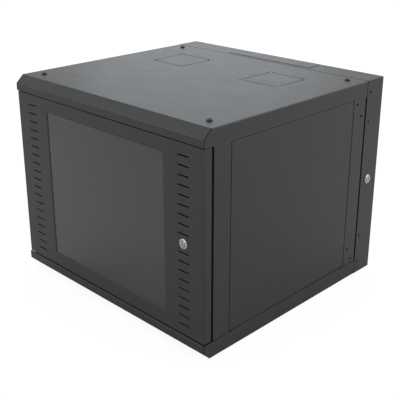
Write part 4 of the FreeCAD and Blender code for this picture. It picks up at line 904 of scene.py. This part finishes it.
def make_world():
    """A light grey studio. The camera sees it as white, and gloss and glass see it as a cool white."""
    world = bpy.data.worlds.new("studio")
    bpy.context.scene.world = world
    world.use_nodes = True
    tree = world.node_tree
    path = tree.nodes.new("ShaderNodeLightPath")
    light = tree.nodes["Background"]
    light.inputs["Color"].default_value = (1, 1, 1, 1)
    light.inputs["Strength"].default_value = STUDIO_LIGHT
    shown = light
    for ray, colour in (
        ("Is Glossy Ray", COOL_WHITE),
        ("Is Transmission Ray", COOL_WHITE),
        ("Is Camera Ray", WHITE),
    ):
        backdrop = tree.nodes.new("ShaderNodeBackground")
        backdrop.inputs["Color"].default_value = (*colour, 1)
        backdrop.inputs["Strength"].default_value = 1.0
        mix = tree.nodes.new("ShaderNodeMixShader")
        tree.links.new(path.outputs[ray], mix.inputs["Fac"])
        tree.links.new(shown.outputs[0], mix.inputs[1])
        tree.links.new(backdrop.outputs["Background"], mix.inputs[2])
        shown = mix
    tree.links.new(shown.outputs["Shader"], tree.nodes["World Output"].inputs["Surface"])


def make_floor():
    """A pale matt floor that keeps the shadow of the cabinet."""
    bpy.ops.mesh.primitive_plane_add(size=FLOOR_SIDE, location=(0, CENTRE.y, FLOOR_Z))
    floor = bpy.context.object
    floor.name = "floor"
    s = Shader("pale_floor")
    s.set(Base_Color=(0.88, 0.88, 0.88), Roughness=0.9)
    s.bsdf.inputs["Specular IOR Level"].default_value = 0.0
    glow = s.node("ShaderNodeEmission")
    glow.inputs["Strength"].default_value = FLOOR_GLOW
    path = s.node("ShaderNodeLightPath")
    mix = s.node("ShaderNodeMixShader")
    seen = s.math("MULTIPLY", path.outputs["Is Camera Ray"], FLOOR_GLOW_SHARE)
    s.join(seen, mix.inputs["Fac"])
    s.join(s.bsdf.outputs["BSDF"], mix.inputs[1])
    s.join(glow.outputs["Emission"], mix.inputs[2])
    s.join(mix.outputs["Shader"], s.output.inputs["Surface"])
    floor.data.materials.append(s.material)


def area_light(name, place, width, height, power, colour):
    data = bpy.data.lights.new(name, "AREA")
    data.shape = "RECTANGLE"
    data.size = width
    data.size_y = height
    data.energy = power
    data.color = colour
    lamp = bpy.data.objects.new(name, data)
    lamp.location = place
    lamp.rotation_euler = (CENTRE - Vector(place)).to_track_quat("-Z", "Y").to_euler()
    bpy.context.scene.collection.objects.link(lamp)
    return lamp


def make_lights():
    for settings in SOFTBOXES:
        area_light(*settings)
    for settings in SHEENS:
        area_light(*settings).visible_diffuse = False


def make_camera():
    data = bpy.data.cameras.new("camera")
    data.lens = CAMERA_LENS
    data.sensor_width = SENSOR_WIDTH
    data.shift_y = CAMERA_SHIFT
    camera = bpy.data.objects.new("camera", data)
    camera.location = CAMERA_PLACE
    camera.rotation_euler = CAMERA_VIEW.to_track_quat("-Z", "Y").to_euler()
    bpy.context.scene.collection.objects.link(camera)
    bpy.context.scene.camera = camera


def main():
    dress_nodes()
    make_bolts()
    make_nuts()
    make_locks()
    make_small_parts()
    make_spring()
    make_glazing_bead()
    make_corner_seam_shades()
    make_foot_seam_shades()
    make_world()
    make_floor()
    make_lights()
    make_camera()
    bpy.context.scene.view_settings.view_transform = "Standard"


main()
